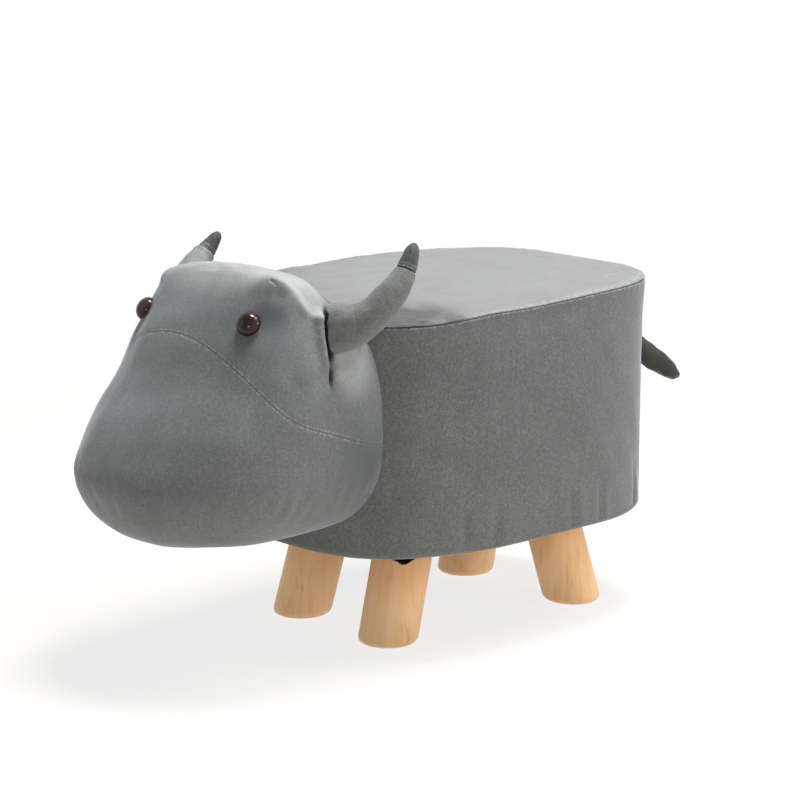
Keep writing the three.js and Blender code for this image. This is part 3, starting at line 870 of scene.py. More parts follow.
@dataclass(frozen=True)
class Body:
    """The padded oblong body: its seat and its side band, whose outline the cloth under it and the staples
    follow.
    """

    half_width: float = 0.1685
    half_length: float = 0.22375
    front_round: float = 0.64
    rear_round: float = 0.67
    taper: float = 0.037
    seam_height: float = 0.349
    front_dip: float = 0.005
    front_dip_y: float = -0.03
    front_dip_run: float = 0.09
    rear_lift: float = 0.0026
    rear_lift_run: float = 0.12
    rear_ease_share: float = 0.7
    rear_ease_y: float = 0.15
    rear_ease_run: float = 0.09
    dip_share: float = 0.2
    dip_height: float = 0.27
    dip_run: float = 0.07
    crown: float = 0.0062
    crown_power: float = 4.2
    crown_round: float = 0.72
    underside: float = 0.106
    front_lift: float = 0.0026
    front_lift_y: float = -0.02
    rear_drop: float = 0.0026
    rear_drop_y: float = 0.08
    edge_run: float = 0.1
    edge_reach: float = 0.03
    edge_depth: float = 0.013
    edge_fade: float = 0.006
    head_y: float = -0.118
    head_run: float = 0.03
    head_bottom: float = 0.13
    hold_run: float = 0.004
    band_hold: float = 0.02
    hem_hold: float = 0.012
    edge_radius: float = 0.007
    draw_in: float = 0.002
    cloth: float = 0.0016
    hem_width: float = 0.042
    foam_bottom: float = 0.319
    card_inset: float = 0.0099
    turned_in: float = 0.0017
    seat_across: int = 66
    seat_along: int = 88
    seat_outward: float = 1.3
    columns: int = 300
    rows: int = 50
    # Painted shade on the seat's shoulders beside the head: how wide, how it fades, how dark, and along
    # which line.
    shade_width: float = 0.046
    shade_fade: float = 0.4
    shade_amount: float = 1.45
    shade_path: tuple[Place, ...] = (
        (0.153, -0.03, 0.35),
        (0.14, -0.1, 0.35),
        (0.105, -0.2, 0.346),
        (0.06, -0.26, 0.34),
    )
    fold_turns: tuple[float, ...] = (-0.35, -0.12, 0.1, 0.24, 0.62, 1.05, 1.5, 2, 2.45, 2.9, 3.3, 3.62)
    fold_depth: float = 0.0016
    ridge_height: float = 0.0009
    ridge_turn: float = 0.045
    seat_wall: tuple[tuple[float, float], ...] = (
        (0.984, -0.03),
        (0.9865, -0.0297),
        (0.9865, -0.015),
        (0.9868, -0.003),
        (0.9885, -0.0007),
        (0.9963, -0.0001),
        (1.0, 0.0006),
    )

    def outline(self, angle: Points, inset: Points | float) -> tuple[Points, Points]:
        """Gives the body's outline seen from above.

        Args:
            angle: the turn round the outline from +X.
            inset: how far inside the outline.

        Returns:
            The x and the y of each place.
        """
        share = np.where(np.sin(angle) < 0, self.front_round, self.rear_round)
        across = rounded(np.cos(angle), share)
        along = rounded(np.sin(angle), share)
        x = across * (self.half_width - inset) * (1 - self.taper * along)
        return x, along * (self.half_length - inset) + BODY_MIDDLE_Y

    def side_inset(self, height: Points) -> Points:
        """Tells how far the side is drawn in at a height, less and less up to the seam."""
        wall = self.seam_height - self.underside - self.edge_radius
        return self.draw_in * np.clip(self.seam_height - height, 0, wall) / wall

    def seam_lift(self, y: Points) -> Points:
        """Tells how far the seam stands above its usual height: it dips towards the head.

        Args:
            y: where along the body.

        Returns:
            The lift, below 0 where the seam dips.
        """
        rear = eased(y / self.rear_lift_run)
        rear = rear - self.rear_ease_share * eased((y - self.rear_ease_y) / self.rear_ease_run)
        front = eased((self.front_dip_y - y) / self.front_dip_run)
        return self.rear_lift * rear - self.front_dip * front

    def above_seam(self, points: Points) -> Points:
        """Gives each point's height above the seam."""
        return points[:, 2] - self.seam_height - self.seam_lift(points[:, 1])

    def place(self, points: Points) -> Points:
        """Moves a spun profile, whose radius is 1 less the inset, to the body's outline.

        Args:
            points: the profile's points.

        Returns:
            Their places on the body.
        """
        inset = 1.0 - np.hypot(points[:, 0], points[:, 1])
        x, y = self.outline(np.arctan2(points[:, 1], points[:, 0]), inset)
        lift = self.seam_lift(y) * eased((points[:, 2] - self.dip_height) / self.dip_run)
        low = eased((self.underside + self.edge_reach - points[:, 2]) / self.edge_reach)
        low = low * eased((self.edge_depth - inset) / self.edge_fade)
        return np.column_stack([x, y, points[:, 2] + lift + low * self.edge_lift(y)])

    def edge_lift(self, y: Points) -> Points:
        """Tells how far the band's bottom edge stands above its usual height: less to the rear."""
        front = self.front_lift * eased((self.front_lift_y - y) / self.edge_run)
        return front - self.rear_drop * eased((y - self.rear_drop_y) / self.edge_run)

    def inside_head(self, points: Points) -> Points:
        """Tells where the head lies against the body, from 0 to 1."""
        ahead = np.clip((self.head_y - points[:, 1]) / self.head_run, 0, 1)
        return ahead * (points[:, 2] > self.head_bottom)

    def make_seat(self) -> bpy.types.Object:
        """Makes the crowned seat with its foam, ending in a rolled edge at the seam.

        Returns:
            The seat.
        """
        levels = np.linspace(0, 1, len(self.seat_wall))[1:-1]
        form = Form("seat_pad").plate(self.seat_across, self.seat_along, levels)
        seat = form.move(self._seat_place).piece()
        Stuffing(cap=0.0022).blow(seat, self._seat_held)
        refine(seat)
        swell(seat, self._seat_relief)
        # Painted shade on the seat's shoulders beside the head.
        self._mark_shade(seat)
        dress(seat, LIT_SEAT_SUEDE.make("seat_suede", self.seat_seam, has_marks=True))
        stand_for(seat, "footstool", "suede_cover", "seat_cover", "seat_foam")
        return seat

    def seat_rise(self, share: Points) -> Points:
        """Tells how far the seat has risen at a share of its outline, as a share of its crown."""
        return (1 - np.clip(share, 0, 1) ** self.crown_power) ** self.crown_round

    def _seat_place(self, points: Points) -> Points:
        """Moves a plate to the seat: its top to the crown, its wall down inside the side band.

        Args:
            points: the plate's points.

        Returns:
            Their places on the seat.
        """
        size = np.hypot(points[:, 0], points[:, 1])
        angle = np.arctan2(points[:, 1], points[:, 0])
        x, y = self.outline(angle, 0.0)
        is_top = points[:, 2] > 1 - MERGE_DISTANCE
        share = np.where(is_top, 1 - (1 - np.clip(size, 0, 1)) ** self.seat_outward, size)
        wall = np.array(self.seat_wall)
        level = points[:, 2] * (len(wall) - 1)
        steps = np.arange(len(wall))
        share = share * np.where(is_top, 1.0, np.interp(level, steps, wall[:, 0]))
        height = self.seam_height + np.interp(level, steps, wall[:, 1])
        height = height + np.where(is_top, self.crown * self.seat_rise(share), 0.0)
        y = (y - BODY_MIDDLE_Y) * share + BODY_MIDDLE_Y
        height += self.seam_lift(y) * bell(1 - share, self.dip_share)
        return np.column_stack([x * share, y, height])

    def _seat_held(self, points: Points) -> Points:
        """Holds the seat at its seam and below, and lets its top swell."""
        return np.clip(1 - self.above_seam(points) / self.hold_run, 0, 1)

    def _seat_relief(self, points: Points) -> Points:
        """Gives the ridge over the seam's turned edges and the cloth's slight unevenness.

        Args:
            points: the seat's corners.

        Returns:
            How far each one moves out.
        """
        above = self.above_seam(points)
        lip = bell(above - 0.0026, 0.0016) * 0.0005
        edge = np.clip(1 - above / 0.0065, 0, 1) * ripple(points, 0.013, 5) * 0.0003
        uneven = ripple(points, 0.11, 3) * 0.0006 + ripple(points, 0.035, 4) * 0.00022
        return (above > 0.0008) * (lip + edge + uneven)

    def _mark_shade(self, seat: bpy.types.Object) -> None:
        """Writes to the seat where shade is painted: on the shoulders beside the head, where the horns cast
        their shadow and the seat rounds over.

        Args:
            seat: the seat.
        """
        points = corners_of(seat.data)
        total = np.zeros(len(points))
        for side in Side:
            path = np.array(self.shade_path) * np.array([side.value, 1, 1])
            total += near_path(points, path, self.shade_width, self.shade_fade)
        mottle = ripple(points, 0.009, 6) * 0.15 + ripple(points, 0.028, 7) * 0.3
        write_marks(seat, "nap", -total * (self.shade_amount + mottle))

    def seat_seam(self, board: Board, x: Wire, y: Wire, z: Wire) -> Wire:
        """Gives the distance to the seat's seam in a material.

        Args:
            board: the material's board.
            x: the place's x, which the distance doesn't need.
            y: the place's y.
            z: the place's z.

        Returns:
            The distance in metres.
        """
        ease = board.rise(y, self.rear_ease_y, self.rear_ease_y + self.rear_ease_run)
        lift = board.rise(y, 0.0, self.rear_lift_run) - ease * self.rear_ease_share
        dip_end = self.front_dip_y - self.front_dip_run
        dip = board.rise(y, dip_end, self.front_dip_y, -self.front_dip, 0.0)
        return abs(z - self.seam_height - lift * self.rear_lift - dip)

    def _side_profile(self) -> Points:
        """Lays out the band's section: its outer wall, rolled top, inner wall and hem.

        Returns:
            Pairs of radius and height, where the radius is 1 less the inset.
        """
        radius = self.edge_radius
        edge = []
        for angle in np.linspace(0, math.pi / 2, 6):
            height = self.underside + radius * (1 - math.cos(angle))
            edge.append((self.draw_in + radius * (1 - math.sin(angle)), height))
        heights = np.linspace(self.underside + radius + 0.004, self.seam_height - 0.003, self.rows)
        wall = [(float(self.side_inset(np.array(height))), height) for height in heights]
        top = self.seam_height
        roll = [(0.0, top - 0.0016), (0.0003, top - 0.0009), (0.0011, top - 0.0006)]
        roll += [(self.turned_in, top - 0.001), (self.turned_in, top - 0.004)]
        hem_top = self.underside + self.cloth
        hem_end = self.hem_width - 0.0003
        inner = [(self.turned_in, self.foam_bottom - 0.0004), (self.card_inset, self.foam_bottom - 0.0006)]
        inner += [(self.card_inset, 0.2), (self.card_inset, hem_top + 0.0002)]
        hem = [(inset, hem_top) for inset in (0.014, 0.028, hem_end)]
        hem.append((self.hem_width, self.underside + self.cloth / 2))
        hem += [(inset, self.underside) for inset in (hem_end, 0.03, 0.02)]
        return np.array([(1.0 - inset, height) for inset, height in edge + wall + roll + inner + hem])

    def make_side(self) -> bpy.types.Object:
        """Makes the band round the body with its foam, turned under the board at the bottom.

        Returns:
            The band.
        """
        form = Form("side_pad").spin(self._side_profile(), self.columns, is_loop=True)
        side = form.move(self.place).piece()
        Stuffing(cap=0.0018).blow(side, self._side_held)
        refine(side)
        swell(side, self._side_relief)
        dress(side, GREY_SUEDE.make("side_suede", self.seat_seam))
        stand_for(side, "footstool", "suede_cover", "side_cover", "side_foam")
        return side

    def _is_outer(self, points: Points) -> Points:
        """Tells the outer wall's points from those of the inner wall and the hem.

        Args:
            points: the band's corners.

        Returns:
            True for each corner of the outer wall.
        """
        across = points[:, 0] / self.half_width
        along = (points[:, 1] - BODY_MIDDLE_Y) / self.half_length
        across = across / (1 - self.taper * np.clip(along, -1, 1))
        power = 2 / np.where(along < 0, self.front_round, self.rear_round)
        reach = (np.abs(across) ** power + np.abs(along) ** power) ** (1 / power)
        return reach > 0.984

    def _side_held(self, points: Points) -> Points:
        """Holds the band at its seam, hem and inner wall, and where the head lies on it.

        Args:
            points: the band's corners.

        Returns:
            How firmly each one is held, from 0 to 1.
        """
        top = np.clip(1 + (self.above_seam(points) + 0.003) / self.band_hold, 0, 1)
        bottom = np.clip(1 - (points[:, 2] - self.underside - self.edge_radius) / self.hem_hold, 0, 1)
        held = np.maximum(np.maximum(top, bottom), self.inside_head(points))
        return np.where(self._is_outer(points), held, 1.0)

    def _side_relief(self, points: Points) -> Points:
        """Gives the soft folds at the bottom, the puckers under the seam and slight unevenness.

        Args:
            points: the band's corners.

        Returns:
            How far each one moves out.
        """
        free = self._is_outer(points) * (1 - self.inside_head(points))
        free = free * (points[:, 2] > self.underside + 0.004)
        under = -self.above_seam(points)
        below = np.clip(under / 0.01, 0, 1)
        swell_by = (ripple(points, 0.13, 11) * 0.0007 + ripple(points, 0.04, 12) * 0.00025) * below
        pucker = bell(under - 0.006, 0.006)
        swell_by += pucker * ripple(points, 0.016, 13, (1, 1, 0.2)) * 0.00022
        chance = np.random.default_rng(21)
        for angle in self.fold_turns:
            turn = angle + chance.uniform(-0.05, 0.05)
            lean = chance.uniform(-0.03, 0.05)
            tall = chance.uniform(0.03, 0.062)
            ends = np.array([turn, turn + lean])
            swell_by -= near_path(points, self._fold_path(ends, tall), 0.005, 0.3) * self.fold_depth
            path = self._fold_path(ends + self.ridge_turn, tall * 0.8)
            swell_by += near_path(points, path, 0.007, 0.3) * self.ridge_height
        return swell_by * free

    def _fold_path(self, ends: Points, tall: float) -> list[Place]:
        """Lays out a fold that rises from the band's bottom edge.

        Args:
            ends: the turns of its lower and its upper end round the body.
            tall: how far up it reaches.

        Returns:
            Its two ends.
        """
        x, y = self.outline(ends, 0.001)
        return [(x[0], y[0], self.underside - 0.012), (x[1], y[1], self.underside + tall)]

    def make_cutter(self) -> bpy.types.Object:
        """Makes the body's space, grown by the gap, to take out of the head.

        Returns:
            The form.
        """
        heights = np.linspace(self.underside - 0.02, self.seam_height, 12)
        profile = [(0.0, heights[0])]
        for height in heights:
            profile.append((1.0 - float(self.side_inset(np.array(height))) / self.half_width, height))
        share = np.sin(np.linspace(0, math.pi / 2, 14))[::-1]
        seam_top = self.seam_height + GAP + 0.0006
        profile += [(size, seam_top + self.crown * up) for size, up in zip(share, self.seat_rise(share))]
        return Form("body_cutter").spin(np.array(profile), 180).move(self._cutter_place).piece()

    def _cutter_place(self, points: Points) -> Points:
        """Moves a spun profile, whose radius is a share of the outline, to the body's outside.

        Args:
            points: the profile's points.

        Returns:
            Their places round the body.
        """
        size = np.hypot(points[:, 0], points[:, 1])
        x, y = self.outline(np.arctan2(points[:, 1], points[:, 0]), -GAP)
        y = (y - BODY_MIDDLE_Y) * size + BODY_MIDDLE_Y
        near = bell(1 - size, self.dip_share) * eased((points[:, 2] - self.dip_height) / self.dip_run)
        return np.column_stack([x * size, y, points[:, 2] + self.seam_lift(y) * near])

    def build(self) -> None:
        """Builds and dresses the seat and the side band."""
        self.make_seat()
        self.make_side()


# The head

CREASE_HEIGHT = 0.345
CORNER_HEIGHT = 0.3975
CORNER_DROP = (0.0107, 0.0145)
OUTWARD = (0.96, -0.28, 0.0)
UPWARD = (0.6, -0.3, 0.74)


@dataclass(frozen=True)
class EyePlace:
    """Where an eye stands on the head and which way it looks."""

    side: Side
    point: Vector
    outward: Vector


@dataclass(frozen=True)
class Fold:
    """One fold in the head's cloth: a groove, or a ridge where its depth is above 0."""

    path: tuple[Place, ...]
    width: float
    depth: float
    outward: Place = OUTWARD
    right_share: float = 1.0
    fade: float = 0.25
    flatness: float = 0.8

    def on_side(self, side: Side) -> Points:
        """Gives the fold's line on one side of the head, whose right top corner hangs lower.

        Args:
            side: the left, where the line is laid out, or the right.

        Returns:
            The line's points.
        """
        line = np.array(self.path)
        if side is Side.RIGHT:
            share = np.clip((line[:, 2] - CREASE_HEIGHT) / (CORNER_HEIGHT - CREASE_HEIGHT), 0, 1)
            line[:, 0] *= -1
            line[:, 1:] -= share[:, None] * np.array(CORNER_DROP)
        return line

    def push(self, points: Points) -> Points:
        """Gives how far the fold moves points out, on both sides of the head.

        Args:
            points: the head's corners. How deep they lie counts less than where on the skin.

        Returns:
            The step out of each one.
        """
        total = np.zeros(len(points))
        for side in Side:
            outward = np.array(self.outward) * np.array([side.value, 1, 1])
            flat = np.eye(3) - self.flatness * np.outer(outward, outward)
            near = near_path(points @ flat, self.on_side(side) @ flat, self.width, self.fade)
            total += near * (1.0 if side is Side.LEFT else self.right_share)
        return total * self.depth


SLIT_LINE = (
    (0.1160, -0.2080, 0.3720),
    (0.1198, -0.2116, 0.3647),
    (0.1275, -0.2169, 0.3439),
    (0.1296, -0.2175, 0.3248),
    (0.1310, -0.2195, 0.3130),
)
SLIT = Fold(SLIT_LINE, 0.0034, -0.0080)
SLIT_ROOM = Fold(SLIT_LINE, 0.0050, 0.0036)
DART_LINE = ((0.1298, -0.2178, 0.3230), (0.1345, -0.2215, 0.3080), (0.1380, -0.2250, 0.2870))
DART = Fold(DART_LINE, 0.0023, -0.0048, fade=0.5)
CORNER_LINE = (
    (0.0820, -0.2524, 0.3975),
    (0.0925, -0.2473, 0.3925),
    (0.1012, -0.2408, 0.3841),
    (0.1088, -0.2360, 0.3719),
    (0.1164, -0.2312, 0.3568),
)
LIP_LINE = (
    (0.1115, -0.2200, 0.3720),
    (0.1180, -0.2230, 0.3580),
    (0.1228, -0.2255, 0.3400),
    (0.1262, -0.2262, 0.3220),
    (0.1290, -0.2275, 0.3080),
)
HOLLOW_LINE = (
    (0.0740, -0.2640, 0.3960),
    (0.0838, -0.2587, 0.3926),
    (0.0944, -0.2550, 0.3858),
    (0.1029, -0.2521, 0.3760),
)
BRIDGE_LINE = ((0.1150, -0.2320, 0.3590), (0.1175, -0.2220, 0.3610), (0.1186, -0.2094, 0.3672))
CHEEK_LINE = ((0.1319, -0.2269, 0.3195), (0.1331, -0.2452, 0.3124), (0.1320, -0.2653, 0.3033))
SOFT_FOLDS = (
    Fold(LIP_LINE, 0.0056, 0.0052),
    Fold(CORNER_LINE, 0.0050, 0.0027, UPWARD, 0.3),
    Fold(BRIDGE_LINE, 0.0036, 0.0030, UPWARD),
    Fold(HOLLOW_LINE, 0.0080, -0.0020, UPWARD, 0.3),
    Fold(((0.0810, -0.2560, 0.3955), (0.0905, -0.2520, 0.3895)), 0.0016, -0.0022, UPWARD, 0.0),
    Fold(CHEEK_LINE, 0.0110, 0.0014),
    Fold(((0.1340, -0.2150, 0.3150), (0.1355, -0.2120, 0.3020)), 0.0060, 0.0014),
    Fold(((0.0960, -0.2073, 0.3830), (0.1245, -0.2000, 0.3690)), 0.0020, -0.0012, UPWARD),
)


@dataclass(frozen=True)
class PaintedSpot:
    """A spot on the head's left where light is painted, and shade where its amount is below 0."""

    middle: Place
    radius: float
    amount: float

    def brush(self, points: Points) -> Points:
        """Gives how much painted light the spot and its mirror image put on each point, and painted shade
        where below 0.
        """
        mirrors = [np.array(self.middle) * np.array([side.value, 1, 1]) for side in Side]
        return sum(near_spot(points, middle, self.radius) for middle in mirrors) * self.amount


# Painted highlights and sheen on the facet beside each horn and under the horn, and painted shade on the
# front of the face and low on the head's side.
PAINTED_SPOTS = (
    PaintedSpot((0.1010, -0.2320, 0.3860), 0.017, 0.9),
    PaintedSpot((0.1100, -0.2230, 0.3740), 0.016, 1.2),
    PaintedSpot((0.1170, -0.2140, 0.3660), 0.012, 1.0),
    PaintedSpot((0.1340, -0.2000, 0.3220), 0.018, 1.6),
    PaintedSpot((0.1360, -0.1950, 0.3000), 0.024, 0.9),
    PaintedSpot((0.0940, -0.2640, 0.3720), 0.020, -0.8),
    PaintedSpot((0.1000, -0.2700, 0.3450), 0.030, -0.5),
    PaintedSpot((0.1310, -0.2560, 0.3100), 0.018, -0.4),
    PaintedSpot((0.0620, -0.2950, 0.3550), 0.030, -0.35),
    PaintedSpot((0.1400, -0.1750, 0.2150), 0.040, -0.9),
)


@dataclass
class Head:
    """The stuffed head: one skin with its seams, pinched corners, creases and puckers."""

    body: Body
    width: float = 0.284
    height: float = 0.2685
    top: float = 0.402
    reach: float = 0.204
    lean: float = 0.07
    back_round: float = 0.45
    seam_top: float = 0.3421
    seam_drop: float = 0.0728
    seam_half: float = 0.152
    seam_shift: float = 0.003
    seam_slope: float = 0.386
    seam_y: float = -0.313863
    seam_lean: float = 1.12
    chin_half_width: float = 0.084
    chin_half_length: float = 0.059
    chin_y: float = -0.286863
    chin_radius: float = 0.07
    chin_ends: tuple[float, float] = (0.155, 0.165)
    columns: int = 168
    rows: int = 100
    crease_angle: float = 0.22
    crease_width: float = 0.24
    crease_share: float = 2.4
    full_crease: float = 0.0045
    # Painted light over the top of the head, where the light from above falls.
    top_light: float = 0.95
    top_light_height: float = 0.358
    top_light_run: float = 0.038
    bridge_height: float = 0.299
    bridge_width: float = 0.034
    bridge_y: float = -0.265
    bridge_depth: float = 0.0058
    eye_spread: float = 0.08
    eye_shift: float = 0.004
    eye_height: float = 0.3525
    eye_tilt: float = 0.0035
    eye_hold: float = 0.013
    seam_hold: float = 0.006
    skin_inset: float = 0.0012
    levels: tuple[tuple[float, ...], ...] = (
        (0, 0.17, 0.578, 0.468, 0.36, 1),
        (0.0074, 0.53, 0.75, 0.38, -0.04, 0.98),
        (0.033, 0.7, 0.85, 0.38, -0.29, 0.96),
        (0.077, 0.82, 0.925, 0.37, -0.37, 0.95),
        (0.151, 0.92, 0.98, 0.36, -0.37, 0.94),
        (0.255, 0.985, 1, 0.34, -0.37, 0.94),
        (0.402, 1, 0.91, 0.3, -0.37, 0.95),
        (0.568, 0.98, 0.77, 0.24, -0.35, 0.97),
        (0.705, 0.91, 0.645, 0.21, -0.29, 0.98),
        (0.808, 0.82, 0.543, 0.2, -0.12, 0.98),
        (0.9, 0.73, 0.438, 0.22, 0.01, 0.88),
        (0.948, 0.65, 0.389, 0.24, 0.06, 0.78),
        (0.978, 0.5, 0.359, 0.26, 0.14, 0.75),
        (1, 0.25, 0.334, 0.285, 0.24, 0.8),
    )

    def __post_init__(self) -> None:
        """Finds where the head starts and where its eyes stand."""
        self.table = np.array(self.levels)
        self.front = BODY_MIDDLE_Y - self.body.half_length
        self.eyes = [self.eye_place(side) for side in Side]

    def skin(self, at: Points, angle: Points, size: Points | float = 1.0, inset: float = 0.0) -> Points:
        """Gives places on the head's skin.

        Args:
            at: the row of the head's table, or a place between rows.
            angle: the turn round the row from +X.
            size: 1 on the skin and 0 at the row's middle.
            inset: how far the skin is drawn in.

        Returns:
            The places.
        """
        rise, wide, fore, mid, back, share = through(self.table, at).T
        half = self.height / 2
        up = self.top - half + (self.height * rise - half) * (1 - inset / half)
        is_front = np.sin(angle) < 0
        power = np.where(is_front, share, self.back_round)
        across = (wide * self.width / 2 - inset) * rounded(np.cos(angle), power)
        near = (fore - mid) * self.reach - inset
        far = (mid - back) * self.reach - inset
        along = np.where(is_front, near, far) * rounded(np.sin(angle), power)
        x = across * size
        y = self.front - mid * self.reach + along * size
        return np.column_stack([x, y, up + self.lean * rise * x])

    def crowd(self, turn: Points) -> Points:
        """Moves even columns closer together at the creases beside the horns.

        Args:
            turn: the turns of the columns round the head from +X.

        Returns:
            The angle of each column in its row's curve.
        """
        even = np.linspace(-math.pi, math.pi, 1441)
        near = np.zeros_like(even)
        for crease in (self.crease_angle, math.pi - self.crease_angle):
            near += bell(even - crease, self.crease_width)
        crowded = np.concatenate([[0], np.cumsum(1 + self.crease_share * near[1:])])
        turn = np.interp(turn, crowded / crowded[-1] * FULL_TURN - math.pi, even)
        share = 1 / self.back_round
        back = np.arctan2(rounded(np.sin(turn), share), rounded(np.cos(turn), share))
        return np.where(turn > 0, back, turn)

    def seam_lift(self, points: Points) -> Points:
        """Gives each point's distance above the muzzle's seam.

        Args:
            points: the head's corners.

        Returns:
            The distances, below 0 under the seam.
        """
        share = np.clip((points[:, 0] - self.seam_shift) / self.seam_half, -1, 1)
        seam = self.seam_top - self.seam_drop * share**2 - self.seam_slope * (points[:, 1] - self.seam_y)
        slope = 2 * self.seam_drop * share / self.seam_half
        return (points[:, 2] - seam) / np.sqrt(1 + slope**2 + self.seam_slope**2)

    def chin_reach(self, points: Points) -> Points:
        """Gives each point's distance outside the chin panel's seam, for the head's underside.

        Args:
            points: the head's corners.

        Returns:
            The distances, and 1 above the underside.
        """
        across = points[:, 0] / self.chin_half_width
        along = (points[:, 1] - self.chin_y) / self.chin_half_length
        size = np.hypot(across, along)
        away = (size - 1) * np.hypot(points[:, 0], points[:, 1] - self.chin_y) / np.maximum(size, 0.2)
        return np.where(points[:, 2] < self.top - self.height + 0.03, away, 1.0)

    def seam_line(self, board: Board, x: Wire, y: Wire, z: Wire) -> Wire:
        """Gives the distance to the muzzle's or the chin's seam in a material.

        Args:
            board: the material's board.
            x: the place's x.
            y: the place's y.
            z: the place's z.

        Returns:
            The distance in metres.
        """
        share = (x - self.seam_shift) / self.seam_half
        seam = self.seam_top - share * share * self.seam_drop - (y - self.seam_y) * self.seam_slope
        away = abs(z - seam) / self.seam_lean
        across = x / self.chin_half_width
        along = (y - self.chin_y) / self.chin_half_length
        size = board.math("SQRT", across * across + along * along, 0.0)
        chin = abs(size - 1.0) * self.chin_radius + board.rise(z, *self.chin_ends)
        return board.math("MINIMUM", away, chin)

    def front_point(self, at: float, x: float) -> Points:
        """Finds the place on the front of the skin in one row and at one x.

        Args:
            at: the row of the head's table, or a place between rows.
            x: the x.

        Returns:
            The place.
        """
        row = through(self.table, np.array([at]))[0]
        share = x / (row[1] * self.width / 2)
        angle = -math.acos(float(rounded(np.array(share), 1 / row[5])))
        return self.skin(np.array([at]), np.array([angle]))[0]

    def eye_place(self, side: Side) -> EyePlace:
        """Finds the place of an eye on the forehead.

        Args:
            side: the eye's side.

        Returns:
            The eye's place.
        """
        x = self.eye_shift + side.value * self.eye_spread
        height = self.eye_height + side.value * self.eye_tilt
        low, high = 0.0, len(self.table) - 1.0
        for _ in range(30):
            middle = (low + high) / 2
            low, high = (middle, high) if self.front_point(middle, x)[2] < height else (low, middle)
        across = self.front_point(low, x + 0.001) - self.front_point(low, x - 0.001)
        up = self.front_point(low + 0.05, x) - self.front_point(low - 0.05, x)
        outward = Vector(np.cross(across, up)).normalized()
        return EyePlace(side, Vector(self.front_point(low, x)), outward)

    def held(self, points: Points) -> Points:
        """Holds the skin at its seams, at the eyes and where it meets the body.

        Args:
            points: the skin's corners.

        Returns:
            How firmly each one is held, from 0 to 1.
        """
        seams = bell(self.seam_lift(points), self.seam_hold)
        chin = bell(self.chin_reach(points), self.seam_hold)
        rear = np.clip((points[:, 1] - self.front + 0.004) / 0.02, 0, 1)
        held = np.maximum(np.maximum(seams, chin), rear)
        for eye in self.eyes:
            held = np.maximum(held, near_spot(points, eye.point, self.eye_hold))
        return held

    def relief(self, points: Points) -> Points:
        """Gives the seams' grooves, the creases, puckers and dimples, and the unevenness.

        Args:
            points: the skin's corners.

        Returns:
            How far each one moves out.
        """
        lift = self.seam_lift(points)
        groove = -0.0004 * bell(lift, 0.0014) + 0.00015 * bell(lift - 0.0036, 0.0025)
        chin = self.chin_reach(points)
        groove += -0.001 * bell(chin, 0.002) + 0.0004 * bell(chin - 0.006, 0.004)
        groove += sum(fold.push(points) for fold in SOFT_FOLDS)
        bridge = bell(points[:, 2] - self.bridge_height, self.bridge_width)
        groove -= bridge * eased((self.bridge_y - points[:, 1]) / 0.05) * self.bridge_depth
        low = bell(points[:, 2] - 0.185, 0.022)
        uneven = ripple(points, 0.11, 31) * 0.0009 + ripple(points, 0.04, 32) * 0.0003
        uneven += low * ripple(points, 0.018, 33, (1, 1, 0.15)) * 0.0005
        return groove + uneven

    def build(self) -> bpy.types.Object:
        """Builds and dresses the head, and cuts the body's place out of its back.

        Returns:
            A copy of its skin that takes the head's place out of the horns.
        """
        last = len(self.table) - 1.0
        rows = [(size, 0.0) for size in (0.0, 0.3, 0.65)]
        rows += [(1.0, at) for at in np.linspace(0, last, self.rows)]
        rows += [(size, last) for size in (0.65, 0.3, 0.0)]
        head = Form("head_pad").spin(np.array(rows), self.columns).move(self._place).piece()
        Stuffing(cap=0.003).blow(head, self.held)
        refine(head)
        shift(head, self.pinch)
        swell(head, self.relief)
        cutter = twin_of(head)
        swell(cutter, SLIT_ROOM.push)
        swell(head, self.creases)
        cut(head, self.body.make_cutter())
        head.data.shade_smooth()
        self.mark(head)
        dress(head, HEAD_SUEDE.make("head_suede", self.seam_line, has_marks=True))
        nodes = ("forehead_panel", "muzzle_panel", "chin_panel", "head_stuffing")
        stand_for(head, "footstool", "suede_cover", *nodes)
        return cutter

    def creases(self, points: Points) -> Points:
        """The deep slit beside each horn and the dart that runs down from it."""
        return SLIT.push(points) + DART.push(points)

    def mark(self, head: bpy.types.Object) -> None:
        """Writes to the skin how deep in a crease each corner lies, for the painted shade in its creases,
        and where light and shade are painted on it.

        Args:
            head: the finished skin.
        """
        points = corners_of(head.data)
        # Painted shade deep in the slit and the dart, by how deep each corner lies in them.
        write_marks(head, "crease", np.clip(-self.creases(points) / self.full_crease, 0, 1))
        # Painted light over the top of the head, with painted highlights and painted shade in spots.
        level = points[:, 2] - self.lean * points[:, 0] * 0.95
        nap = self.top_light * eased((level - self.top_light_height) / self.top_light_run)
        nap += sum(spot.brush(points) for spot in PAINTED_SPOTS)
        write_marks(head, "nap", nap + ripple(points, 0.03, 34) * 0.06)

    def _place(self, points: Points) -> Points:
        """Moves a spun profile, with its height in table rows, to just inside the head's skin."""
        angle = self.crowd(np.arctan2(points[:, 1], points[:, 0]))
        return self.skin(points[:, 2], angle, np.hypot(points[:, 0], points[:, 1]), self.skin_inset)

    def pinch(self, points: Points) -> Points:
        """Pulls the two top corners of the forehead out to soft points.

        Args:
            points: the skin's corners.

        Returns:
            The step of each one.
        """
        near = near_spot(points, (0.083, -0.2535, 0.3975), 0.012)
        far = near_spot(points, (-0.084, -0.2631, 0.383), 0.014)
        step = near[:, None] * np.array([0.002, -0.001, 0.0035])
        return step + far[:, None] * np.array([-0.001, 0.0, 0.001])


# The small parts on the head


